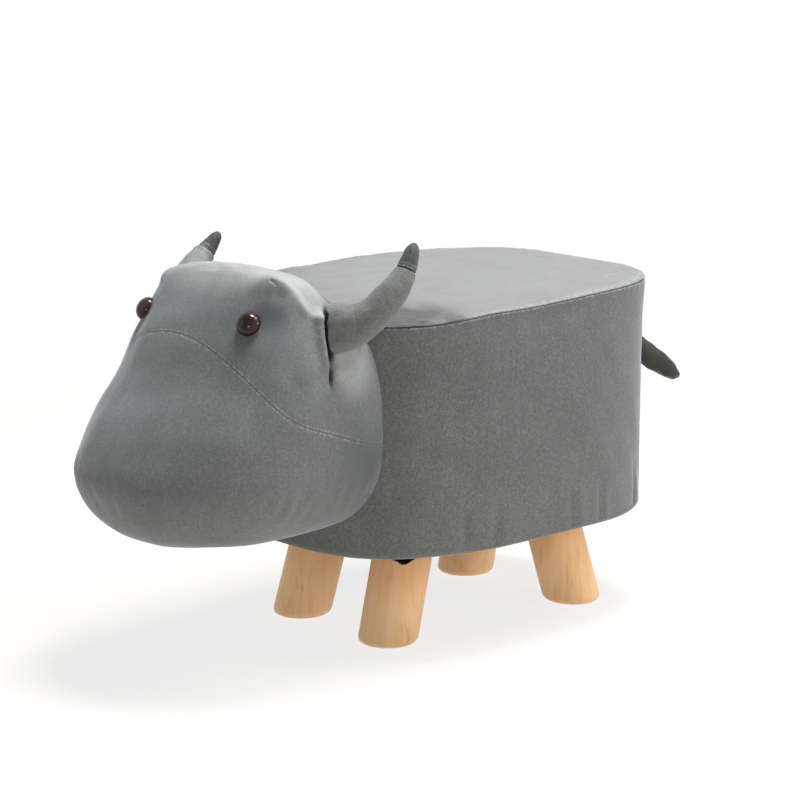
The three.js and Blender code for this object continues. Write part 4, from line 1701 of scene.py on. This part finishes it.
@dataclass(frozen=True)
class Eye:
    """A button eye: a domed glass front on a stem that goes through the cloth."""

    radius: float = 0.01225
    bulge: float = 0.01
    standoff: float = 0.0009
    stem_radius: float = 0.002
    stem_length: float = 0.015
    steps: int = 48

    def build(self, place: EyePlace) -> bpy.types.Object:
        """Builds and dresses one eye.

        Args:
            place: where it stands and which way it looks.

        Returns:
            The eye.
        """
        profile = [(0.0, -self.stem_length), (self.stem_radius, -self.stem_length), (self.stem_radius, 0.0)]
        profile += [(self.radius - 0.0006, 0.0), (self.radius, 0.0005)]
        for angle in np.linspace(0.08, math.pi / 2, 16):
            profile.append((self.radius * math.cos(angle), self.bulge * math.sin(angle)))
        form = Form(f"eye_{place.side.word}_glass").spin(np.array(profile), self.steps)
        form.turn(facing(place.point + place.outward * self.standoff, place.outward))
        eye = form.piece()
        middle = np.array(place.point)
        away = corners_of(eye.data) - middle
        out = np.linalg.norm(away - np.outer(away @ np.array(place.outward), place.outward), axis=1)
        write_marks(eye, "out_share", out / self.radius)
        dress(eye, EyeGlass().make())
        stand_for(eye, "footstool", "eye_button", f"eye_{place.side.word}")
        return eye


def facing(point: Vector, outward: Vector) -> Matrix:
    """Gives the matrix that stands an upright form on a point, looking outward."""
    return Matrix.Translation(point) @ outward.to_track_quat("Z", "Y").to_matrix().to_4x4()


@dataclass
class Horn:
    """A curved stuffed horn: a grey cloth cone with a dark tip sewn on."""

    side: Side
    rise: float
    seed: int
    diameter: float = 0.046
    seam_share: float = 0.8
    out: float = 0.057
    back: float = 0.069
    root: Place = (0.098, -0.202863, 0.345)
    bend_start: Place = (0.108, -0.222, 0.35)
    bend_way: Place = (0.022, 0.01, 0.0)
    path: tuple[Place, ...] = (
        (0, 0, 0),
        (0.64, 0.17, 0.09),
        (0.96, 0.45, 0.33),
        (1.04, 0.76, 0.65),
        (1, 1, 1),
    )
    widths: tuple[float, ...] = (1, 0.92, 0.76, 0.67, 0.475, 0.275)
    root_square: float = 0.7
    root_flare: float = 0.3
    root_share: float = 0.38
    # How much light is painted on the horn's cloth.
    painted_light: float = 0.0
    tip_width: float = 0.9
    tip_gap: float = 0.001
    fold_share: float = 0.03
    wrinkle_length: float = 0.013
    wrinkle_depth: float = 0.00012
    samples: int = 400
    columns: int = 56

    def __post_init__(self) -> None:
        """Lays out the horn's middle line."""
        self.body = f"horn_{self.side.word}"
        mirror = np.array([self.side.value, 1, 1])
        reach = np.array([self.out, self.back, self.rise])
        self.line = self._smooth_line((np.array(self.root) + np.array(self.path) * reach) * mirror)
        self._make_frames()

    def _smooth_line(self, knots: Points) -> Points:
        """Samples one smooth curve through a horn's points, evenly along its length.

        Args:
            knots: the points of the middle line.

        Returns:
            The samples.
        """
        full = np.vstack([2 * knots[:1] - knots[1:2], knots, 2 * knots[-1:] - knots[-2:-1]])
        fine = []
        for index in range(len(knots) - 1):
            a, b, c, d = full[index : index + 4]
            spans = [math.sqrt(np.linalg.norm(end - start)) for start, end in ((a, b), (b, c), (c, d))]
            leave = ((b - a) / spans[0] - (c - a) / (spans[0] + spans[1]) + (c - b) / spans[1]) * spans[1]
            reach = ((c - b) / spans[1] - (d - b) / (spans[1] + spans[2]) + (d - c) / spans[2]) * spans[1]
            for share in np.linspace(0, 1, 100, endpoint=index == len(knots) - 2):
                bend = -3 * b + 3 * c - 2 * leave - reach
                twist = 2 * b - 2 * c + leave + reach
                fine.append(b + share * (leave + share * (bend + share * twist)))
        line = np.array(fine)
        lengths = np.concatenate([[0], np.cumsum(np.linalg.norm(np.diff(line, axis=0), axis=1))])
        self.length = lengths[-1]
        even = np.linspace(0, self.length, self.samples + 1)
        return np.column_stack([np.interp(even, lengths, line[:, axis]) for axis in range(3)])

    def _make_frames(self) -> None:
        """Carries a pair of crosswise directions along the middle line without twist."""
        self.ways = np.gradient(self.line, axis=0)
        self.ways /= np.linalg.norm(self.ways, axis=1, keepdims=True)
        cross = np.cross(self.ways[0], [0, 0, 1.0])
        crosses = []
        for way in self.ways:
            cross = cross - way * (cross @ way)
            cross = cross / np.linalg.norm(cross)
            crosses.append(cross)
        self.crosses = np.array(crosses)
        self.ups = np.cross(self.ways, self.crosses)

    def place(self, points: Points) -> Points:
        """Moves a spun profile, with its height along the horn in shares, to the horn.

        Args:
            points: the profile's points.

        Returns:
            Their places on the horn.
        """
        share = np.clip(points[:, 2], 0, 1)
        index = np.clip(share * self.samples, 0, self.samples - 1e-6)
        low = index.astype(int)
        part = (index - low)[:, None]
        tables = (self.line, self.ways, self.crosses, self.ups)
        middle, way, cross, up = (rows[low] * (1 - part) + rows[low + 1] * part for rows in tables)
        widths = np.array(self.widths)[:, None]
        radius = through(widths, share * (len(widths) - 1))[:, 0] * self.diameter / 2
        size = np.hypot(points[:, 0], points[:, 1])
        angle = np.arctan2(points[:, 1], points[:, 0])
        rooted = np.clip(1 - share / self.root_share, 0, 1)
        power = 1 - self.root_square * rooted
        across = rounded(np.cos(angle), power)
        down = rounded(np.sin(angle), power)
        down *= 1 + self.root_flare * rooted * (down > 0)
        corner = 2.0 * np.clip(down, -1, 1) * (across * self.side.value > 0)
        across *= 1 + self.root_flare * rooted * corner
        spread = (radius * size)[:, None]
        past = (points[:, 2] - share)[:, None] * self.length
        return middle + (cross * across[:, None] + up * down[:, None]) * spread + way * past

    def profile(self, start: float, end: float, is_tip: bool) -> Points:
        """Lays out a cone along the horn, with rolled ends.

        Args:
            start: the share of the horn at which it starts.
            end: the share at which it ends.
            is_tip: whether it is the tip, whose end is a dome.

        Returns:
            Pairs of radius, as a share of the horn's, and share along the horn.
        """
        full = self.tip_width if is_tip else 1.0
        rows = [(full * size, start) for size in (0.0, 0.5, 0.9)] + [(full * 0.975, start + 0.003)]
        if is_tip:
            rows += [(full, at) for at in np.linspace(start + 0.014, 0.94, 10)]
            turn = np.linspace(0.2, math.pi / 2, 7)
            rows += [(full * math.cos(angle), 0.945 + 0.06 * math.sin(angle)) for angle in turn[:-1]]
            rows.append((0.0, 1.005))
        else:
            rows += [(1.0, at) for at in np.linspace(start + 0.014, end - 0.014, int((end - start) * 64))]
            rows += [(0.975, end - 0.003)] + [(size, end) for size in (0.9, 0.5, 0.0)]
        return np.array(rows)

    def tip_fold(self, board: Board, x: Wire, y: Wire, z: Wire) -> Wire:
        """Gives the distance to the fold round the tip's lower part in a material.

        Args:
            board: the material's board.
            x: the place's x.
            y: the place's y.
            z: the place's z.

        Returns:
            The distance in metres.
        """
        row = int((self.seam_share + self.fold_share) * self.samples)
        start, way = self.line[row], self.ways[row]
        return abs((x - start[0]) * way[0] + (y - start[1]) * way[1] + (z - start[2]) * way[2])

    def share_of(self, points: Points) -> Points:
        """Finds how far along the horn each point is.

        Args:
            points: the horn's corners.

        Returns:
            The shares of its length, from 0 to 1.
        """
        step = 4
        coarse = self.line[::step]
        away = np.linalg.norm(points[:, None, :] - coarse[None, :, :], axis=2)
        return np.argmin(away, axis=1) * step / self.samples

    def relief(self, points: Points) -> Points:
        """Gives the wrinkles in the horn's bend and the cloth's unevenness.

        Args:
            points: the horn's corners.

        Returns:
            How far each one moves out.
        """
        share = self.share_of(points)
        bend = bell(share - 0.42, 0.2)
        phase = share * self.length / self.wrinkle_length * FULL_TURN
        wrinkle = np.sin(phase + ripple(points, 0.03, self.seed) * 1.5)
        uneven = ripple(points, 0.03, self.seed + 1) * 0.0006
        uneven += ripple(points, 0.009, self.seed + 2) * 0.00018
        return uneven + bend * wrinkle * self.wrinkle_depth

    def build(self, head: bpy.types.Object) -> None:
        """Builds and dresses the cone and the tip.

        Args:
            head: the skin that takes the head's place out of the cone.
        """
        cone_form = Form(f"{self.body}_pad").spin(self.profile(0.0, self.seam_share, False), self.columns)
        cone = cone_form.move(self.place).piece()
        tip_profile = self.profile(self.seam_share + self.tip_gap, 1.0, True)
        tip = Form(f"{self.body}_dark_tip").spin(tip_profile, self.columns).move(self.place).piece()
        for piece in (cone, tip):
            refine(piece)
            swell(piece, self.relief)
            points = corners_of(piece.data)
            # Painted light over the whole cone and tip, as strong as the horn's amount; only the right horn
            # has any.
            write_marks(piece, "nap", self.painted_light * (0.65 + 0.12 * ripple(points, 0.009, self.seed + 3)))
        cut(cone, twin_of(head))
        cone.data.shade_smooth()
        dress(cone, HORN_SUEDE.make(f"{self.body}_suede", has_marks=True))
        dress(tip, TIP_SUEDE.make(f"{self.body}_tip_suede", self.tip_fold))
        stand_for(tip, self.body, "dark_cloth", f"horn_tip_{self.side.word}")
        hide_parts(f"horn_cover_{self.side.word}", f"horn_stuffing_{self.side.word}")
        mirror = Matrix.Diagonal((self.side.value, 1, 1))
        start = mirror @ Vector(self.bend_start)
        end = start + mirror @ Vector(self.bend_way)
        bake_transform(cone)
        LOG.info("%s bends from the head to %s", cone.name, self.body)


# The tail


@dataclass(frozen=True)
class Tail:
    """A flat stuffed leaf of dark cloth, sewn into the upright seam at the back."""

    length: float = 0.141
    drop: float = 0.083
    depth: float = 0.043
    thickness: float = 0.017
    seam: float = 0.0012
    hinge_y: float = 0.25614
    root_height: float = 0.286
    bend_length: float = 0.012
    end_length: float = 0.02
    columns: int = 48
    rows: int = 60
    shares: tuple[tuple[float, ...], ...] = (
        (0, 1, 0),
        (0.12, 1, 0.55),
        (0.3, 0.95, 1),
        (0.5, 0.82, 1),
        (0.7, 0.72, 0.8),
        (0.87, 0.6, 0.5),
        (0.96, 0.44, 0.25),
        (1, 0.24, 0.1),
    )

    def place(self, points: Points) -> Points:
        """Moves a spun profile, with its height along the tail in rows of shares, to the tail.

        Args:
            points: the profile's points.

        Returns:
            Their places on the tail.
        """
        table = np.array(self.shares, float)
        row = np.clip(points[:, 2], 0, len(table) - 1)
        along, deep, full = through(table, row).T
        size = np.hypot(points[:, 0], points[:, 1])
        angle = np.arctan2(points[:, 1], points[:, 0])
        half = self.seam + (self.thickness / 2 - self.seam) * np.clip(full, 0.02, 1)
        x = half * size * rounded(np.cos(angle), 1.15)
        z = self.root_height - self.drop * along - self.depth / 2 * deep * size * np.sin(angle)
        past = (points[:, 2] - row) * self.end_length
        return np.column_stack([x, self.hinge_y + self.length * along + past, z - past * 0.6])

    def relief(self, points: Points) -> Points:
        """Gives the tail's soft folds along its length."""
        return ripple(points, 0.022, 51, (1, 0.6, 1)) * 0.0006

    def build(self) -> bpy.types.Object:
        """Builds and dresses the tail.

        Returns:
            The tail.
        """
        rows = [(size, 0.0) for size in (0.0, 0.4, 0.8, 0.97)]
        rows += [(1.0, at) for at in np.linspace(0.03, 7.0, self.rows)]
        rows += [(0.93, 7.08), (0.7, 7.16), (0.35, 7.21), (0.0, 7.22)]
        tail = Form("tail_pad").spin(np.array(rows), self.columns).move(self.place).piece()
        refine(tail)
        swell(tail, self.relief)
        dress(tail, DARK_SUEDE.make("tail_suede", self.seam_line))
        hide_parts("tail_side_left", "tail_side_right", "tail_stuffing")
        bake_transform(tail)
        LOG.info("%s bends from the body to the tail's hinge", tail.name)
        return tail

    def seam_line(self, board: Board, x: Wire, y: Wire, z: Wire) -> Wire:
        """Gives the distance to the seam between the tail's two sides."""
        return abs(x) + 0.0004


# The legs and what is under the body


def rod(
    name: str, radius: float, ends: tuple[float, float], middle: Vector, steps: int
) -> bpy.types.Object:
    """Makes an upright rod, to cut a round hole.

    Args:
        name: its name.
        radius: its radius.
        ends: the heights of its lower and its upper end.
        middle: where it stands.
        steps: how many sides it has.

    Returns:
        The rod.
    """
    low, high = ends
    profile = np.array([(0.0, low), (radius, low), (radius, high), (0.0, high)])
    return Form(name).spin(profile, steps).turn(Matrix.Translation((middle.x, middle.y, 0.0))).piece()


@dataclass(frozen=True)
class Leg:
    """A round leg of pale wood that leans away from its bolt."""

    name: str
    x: float
    y: float
    turn: float
    radius: float = 0.031
    lean: float = 0.0288
    foot_radius: float = 0.0065
    top: float = 0.1076
    top_edge: float = 0.0012
    bore: float = 0.0043
    bore_depth: float = 0.0453
    overrun: float = 0.005
    steps: int = 96

    @property
    def way(self) -> Vector:
        """The flat direction in which the leg leans, from its bolt to its foot.

        Returns:
            The direction, of length 1.
        """
        angle = math.radians(self.turn)
        fore = -1.0 if self.y < 0 else 1.0
        return Vector((math.copysign(math.cos(angle), self.x), fore * math.sin(angle), 0.0))

    def middle(self, height: float) -> Vector:
        """Gives the leg's middle at a height."""
        share = self.lean * (1 - height / self.top)
        return Vector((self.x, self.y, height)) + self.way * share

    def build(self) -> bpy.types.Object:
        """Builds and dresses the leg.

        Returns:
            The leg.
        """
        foot = self.foot_radius
        profile = [(0.0, 0.0), ((self.radius - foot) * 0.5, 0.0)]
        for angle in np.linspace(0, math.pi / 2, 10):
            profile.append((self.radius - foot * (1 - math.sin(angle)), foot * (1 - math.cos(angle))))
        wall = np.linspace(foot + 0.01, self.top - self.top_edge, 8)
        profile += [(self.radius, height) for height in wall]
        profile.append((self.radius - self.top_edge / 3, self.top - self.top_edge / 3))
        profile += [(self.radius - self.top_edge, self.top), (0.0, self.top)]
        slope = self.way * (-self.lean / self.top)
        shear = Matrix(((1, 0, slope.x, 0), (0, 1, slope.y, 0), (0, 0, 1, 0), (0, 0, 0, 1)))
        form = Form(f"leg_{self.name}_wood").spin(np.array(profile), self.steps)
        leg = form.turn(Matrix.Translation(self.middle(0.0)) @ shear).piece()
        ends = (self.top - self.bore_depth, self.top + self.overrun)
        cut(leg, rod("bore", self.bore, ends, Vector((self.x, self.y, 0.0)), 24))
        leg.data.shade_smooth()
        leg.data.set_sharp_from_angle(angle=SHARP_ANGLE)
        dress(leg, LegWood().make(f"leg_{self.name}_wood", tuple(self.middle(0.05)), self.turn))
        stand_for(leg, "footstool", "leg_wood", f"leg_{self.name}")
        return leg


@dataclass(frozen=True)
class Underside:
    """The dark cloth stapled under the body, with a round hole for each leg."""

    body: Body
    legs: tuple[Leg, ...]
    inset: float = 0.024
    top: float = 0.1057
    thickness: float = 0.0006
    hole: float = 0.0335
    hole_ends: tuple[float, float] = (0.09, 0.12)
    across: int = 40
    along: int = 54
    slack_half: tuple[float, float] = (0.144, 0.2)
    sag: float = 0.0016
    collar_drop: float = 0.0022
    collar_width: float = 0.004
    loose_spot: tuple[float, float] = (0.1207, -0.1185)
    loose_radius: float = 0.009
    loose_drop: float = 0.0092
    staple_count: int = 64
    staple_inset: float = 0.007
    staple_size: Place = (0.01, 0.0013, 0.0006)
    staple_depth: float = 0.0012
    staple_edge: float = 0.0002

    def make_cloth(self) -> bpy.types.Object:
        """Makes the dust cloth, slightly slack between its staples.

        Returns:
            The cloth.
        """
        form = Form("dust_cloth_sheet").plate(self.across, self.along, ())
        cloth = form.move(self._cloth_place).piece()
        for leg in self.legs:
            cut(cloth, rod("hole", self.hole, self.hole_ends, leg.middle(self.top), 64))
        shift(cloth, self._slack)
        cloth.data.shade_smooth()
        cloth.data.set_sharp_from_angle(angle=SHARP_ANGLE)
        dress(cloth, LINING.make())
        stand_for(cloth, "footstool", "dust_cloth", "dust_cover")
        return cloth

    def _cloth_place(self, points: Points) -> Points:
        """Moves a plate to the cloth's place under the body.

        Args:
            points: the plate's points.

        Returns:
            Their places under the body.
        """
        size = np.hypot(points[:, 0], points[:, 1])
        x, y = self.body.outline(np.arctan2(points[:, 1], points[:, 0]), self.inset)
        height = self.top - self.thickness * (1 - points[:, 2])
        return np.column_stack([x * size, (y - BODY_MIDDLE_Y) * size + BODY_MIDDLE_Y, height])

    def _slack(self, points: Points) -> Points:
        """Lets the cloth hang a little away from its edge, and one bit by a leg hang loose.

        Args:
            points: the cloth's corners.

        Returns:
            The step of each one.
        """
        half_x, half_y = self.slack_half
        reach = np.hypot(points[:, 0] / half_x, (points[:, 1] - BODY_MIDDLE_Y) / half_y)
        drop = np.clip(1 - reach, 0, 1) * (self.sag + ripple(points, 0.07, 61) * 0.0005)
        for leg in self.legs:
            spot = leg.middle(self.top)
            away = np.hypot(points[:, 0] - spot.x, points[:, 1] - spot.y) - self.hole
            drop += self.collar_drop * bell(away, self.collar_width)
        away = np.hypot(points[:, 0] - self.loose_spot[0], points[:, 1] - self.loose_spot[1])
        drop += self.loose_drop * bell(away, self.loose_radius)
        return np.column_stack([0 * drop, 0 * drop, -drop])

    def make_staples(self) -> bpy.types.Object:
        """Makes the flat steel staples that hold the cloth and the hem to the board.

        Returns:
            The staples, as one piece.
        """
        shape = bmesh.new()
        for angle in np.linspace(0, FULL_TURN, self.staple_count, endpoint=False):
            ends = np.array([angle - 0.01, angle, angle + 0.01])
            x, y = self.body.outline(ends, self.inset + self.staple_inset)
            way = Vector((x[2] - x[0], y[2] - y[0], 0.0)).normalized()
            turn = Matrix((way, Vector((-way.y, way.x, 0.0)), Vector((0, 0, 1)))).transposed().to_4x4()
            spot = Matrix.Translation((x[1], y[1], self.top - self.staple_depth)) @ turn
            size = Matrix.Diagonal((*self.staple_size, 1))
            made = bmesh.ops.create_cube(shape, size=1.0, matrix=spot @ size)
            edges = {edge for corner in made["verts"] for edge in corner.link_edges}
            bmesh.ops.bevel(
                shape,
                geom=list(edges),
                offset=self.staple_edge,
                affect="EDGES",
                segments=2,
                profile=0.5,
                material=-1,
            )
        staples = into_scene("hem_staples", mesh_of("hem_staples", shape))
        dress(staples, STEEL.make())
        stand_for(staples, "footstool", "steel")
        return staples

    def build(self) -> None:
        """Builds and dresses the cloth and its staples."""
        self.make_cloth()
        self.make_staples()


# The frame inside


class Inside(Enum):
    """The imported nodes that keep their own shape, by the start of their names."""

    BOARDS = ("base_board", "seat_board")
    POSTS = ("post_",)
    WALL = ("card_wall",)
    METAL = ("base_screw_", "seat_screw_", "hanger_bolt_", "tee_nut_")
    WASHERS = ("eye_washer_",)

    @property
    def finish(self) -> Grained:
        """The stuff that these nodes are made of."""
        stuffs = {"BOARDS": PLYWOOD, "POSTS": PINE, "WALL": CARD, "METAL": STEEL, "WASHERS": NYLON}
        return stuffs[self.name]

    def dress(self) -> None:
        """Gives all these nodes their material."""
        material = self.finish.make()
        for name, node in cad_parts.items():
            if name.startswith(self.value):
                dress(node, material)
                LOG.info("%s is dressed in %s", name, material.name)


# The studio


def aim(thing: bpy.types.Object, spot: Vector, way: Vector) -> None:
    """Stands a camera or a lamp on a spot, looking one way.

    Args:
        thing: the camera or the lamp.
        spot: where it stands.
        way: the direction in which it looks.
    """
    thing.location = spot
    thing.rotation_mode = "QUATERNION"
    thing.rotation_quaternion = way.to_track_quat("-Z", "Y")


@dataclass(frozen=True)
class Lamp:
    """A soft square lamp: where it hangs, how wide it is and its power in watts."""

    name: str
    spot: Place
    size: float
    power: float

    def hang(self, middle: Vector) -> None:
        """Hangs the lamp.

        Args:
            middle: the object's middle, at which it looks.
        """
        data = bpy.data.lights.new(self.name, "AREA")
        data.size = self.size
        data.energy = self.power
        aim(into_scene(self.name, data), Vector(self.spot), middle - Vector(self.spot))


@dataclass(frozen=True)
class Studio:
    """The pale floor, the plain light and the camera."""

    azimuth: float = 49.018
    elevation: float = 12.242
    distance: float = 3.104
    lens: float = 133.98
    sensor: float = 36.0
    target: Place = (-0.001554, -0.017058, 0.230558)
    middle: Place = (0, 0, 0.2)
    lamps: tuple[Lamp, ...] = (
        Lamp("over", (0.1, 0.4, 2.8), 0.9, 95.0),
        Lamp("key", (1.05, 1.0, 2.5), 1.0, 31.0),
        Lamp("right", (2.0, 1.5, 0.9), 0.75, 19.0),
        Lamp("left", (-1.2, -2.4, 1.3), 1.6, 7.0),
        Lamp("front", (1.5, -2.0, 0.55), 0.5, 7.0),
    )
    sky: float = 0.06
    floor_size: float = 40.0
    floor_start: float = 0.5
    floor_share: float = 0.8
    floor_glow: float = 0.35
    floor_clear: float = 1.6

    def make_camera(self) -> None:
        """Stands the camera at the photograph's angle."""
        turn, lift = math.radians(self.azimuth), math.radians(self.elevation)
        back = Vector((math.sin(turn) * math.cos(lift), -math.cos(turn) * math.cos(lift), math.sin(lift)))
        data = bpy.data.cameras.new("camera")
        data.lens = self.lens
        data.sensor_width = self.sensor
        camera = into_scene("camera", data)
        aim(camera, Vector(self.target) + back * self.distance, -back)
        bpy.context.scene.camera = camera

    def make_floor(self) -> None:
        """Lays the floor, which stays white round the object's shadow."""
        shape = bmesh.new()
        bmesh.ops.create_grid(shape, x_segments=2, y_segments=2, size=self.floor_size)
        floor = into_scene("floor", mesh_of("floor", shape))
        board = Board.named("pale_floor")
        cloth = board.add("ShaderNodeBsdfDiffuse", None, {"Color": paint("f4eee2")})
        white = board.add("ShaderNodeEmission", None, {"Color": (1, 1, 1, 1), "Strength": 1.0})
        seen = self._seen(board)
        away = board.add("ShaderNodeVectorMath", {"operation": "LENGTH"}, {0: board.place()}, "Value")
        clear = board.rise(away, self.floor_start, self.floor_clear, self.floor_share, 1.0)
        share = seen * (clear - self.floor_glow) + self.floor_glow
        both = board.add("ShaderNodeMixShader", None, {0: share, 1: cloth, 2: white})
        board.add("ShaderNodeOutputMaterial", None, {"Surface": both})
        dress(floor, board.owner)

    @staticmethod
    def _seen(board: Board) -> Wire:
        """Tells the rays that show a surface from those that light another one.

        Args:
            board: the board of the floor or the sky.

        Returns:
            1 for the camera's rays, a reflection's and those through glass, or else 0.
        """
        kinds = ("Camera", "Glossy", "Transmission")
        camera, glossy, through_glass = (
            board.add("ShaderNodeLightPath", out=f"Is {kind} Ray") for kind in kinds
        )
        return board.math("MAXIMUM", board.math("MAXIMUM", camera, glossy), through_glass)

    def make_light(self) -> None:
        """Hangs two soft lamps overhead and weaker ones round the object, under a faint sky."""
        for lamp in self.lamps:
            lamp.hang(Vector(self.middle))
        world = bpy.data.worlds.new("sky")
        bpy.context.scene.world = world
        board = Board(world)
        light = board.add("ShaderNodeBackground", None, {"Color": (1, 1, 1, 1), "Strength": self.sky})
        white = board.add("ShaderNodeBackground", None, {"Color": (1, 1, 1, 1), "Strength": 1.0})
        both = board.add("ShaderNodeMixShader", None, {0: self._seen(board), 1: light, 2: white})
        board.add("ShaderNodeOutputWorld", None, {"Surface": both})

    def build(self) -> None:
        """Builds the camera, the floor and the light."""
        self.make_camera()
        self.make_floor()
        self.make_light()
        bpy.context.scene.view_settings.view_transform = "Standard"


def main() -> None:
    """Builds the whole footstool in order, and the studio round it."""
    logging.basicConfig(level=logging.INFO, format="%(name)s: %(message)s")
    Studio().build()
    body = Body()
    body.build()
    head = Head(body)
    skin = head.build()
    for place in head.eyes:
        Eye().build(place)
    Horn(Side.LEFT, 0.082, 71).build(skin)
    # The right horn is painted lighter, as painted light.
    Horn(Side.RIGHT, 0.056, 81, painted_light=0.75).build(skin)
    bpy.data.objects.remove(skin)
    Tail().build()
    legs = (
        Leg("front_left", 0.064, -0.066113, 82.0),
        Leg("front_right", -0.064, -0.066113, 73.0),
        Leg("rear_left", 0.054, 0.142887, 36.0),
        Leg("rear_right", -0.054, 0.142887, 12.0),
    )
    for leg in legs:
        leg.build()
    Underside(body, legs).build()
    for group in Inside:
        group.dress()


if __name__ == "__main__":
    main()
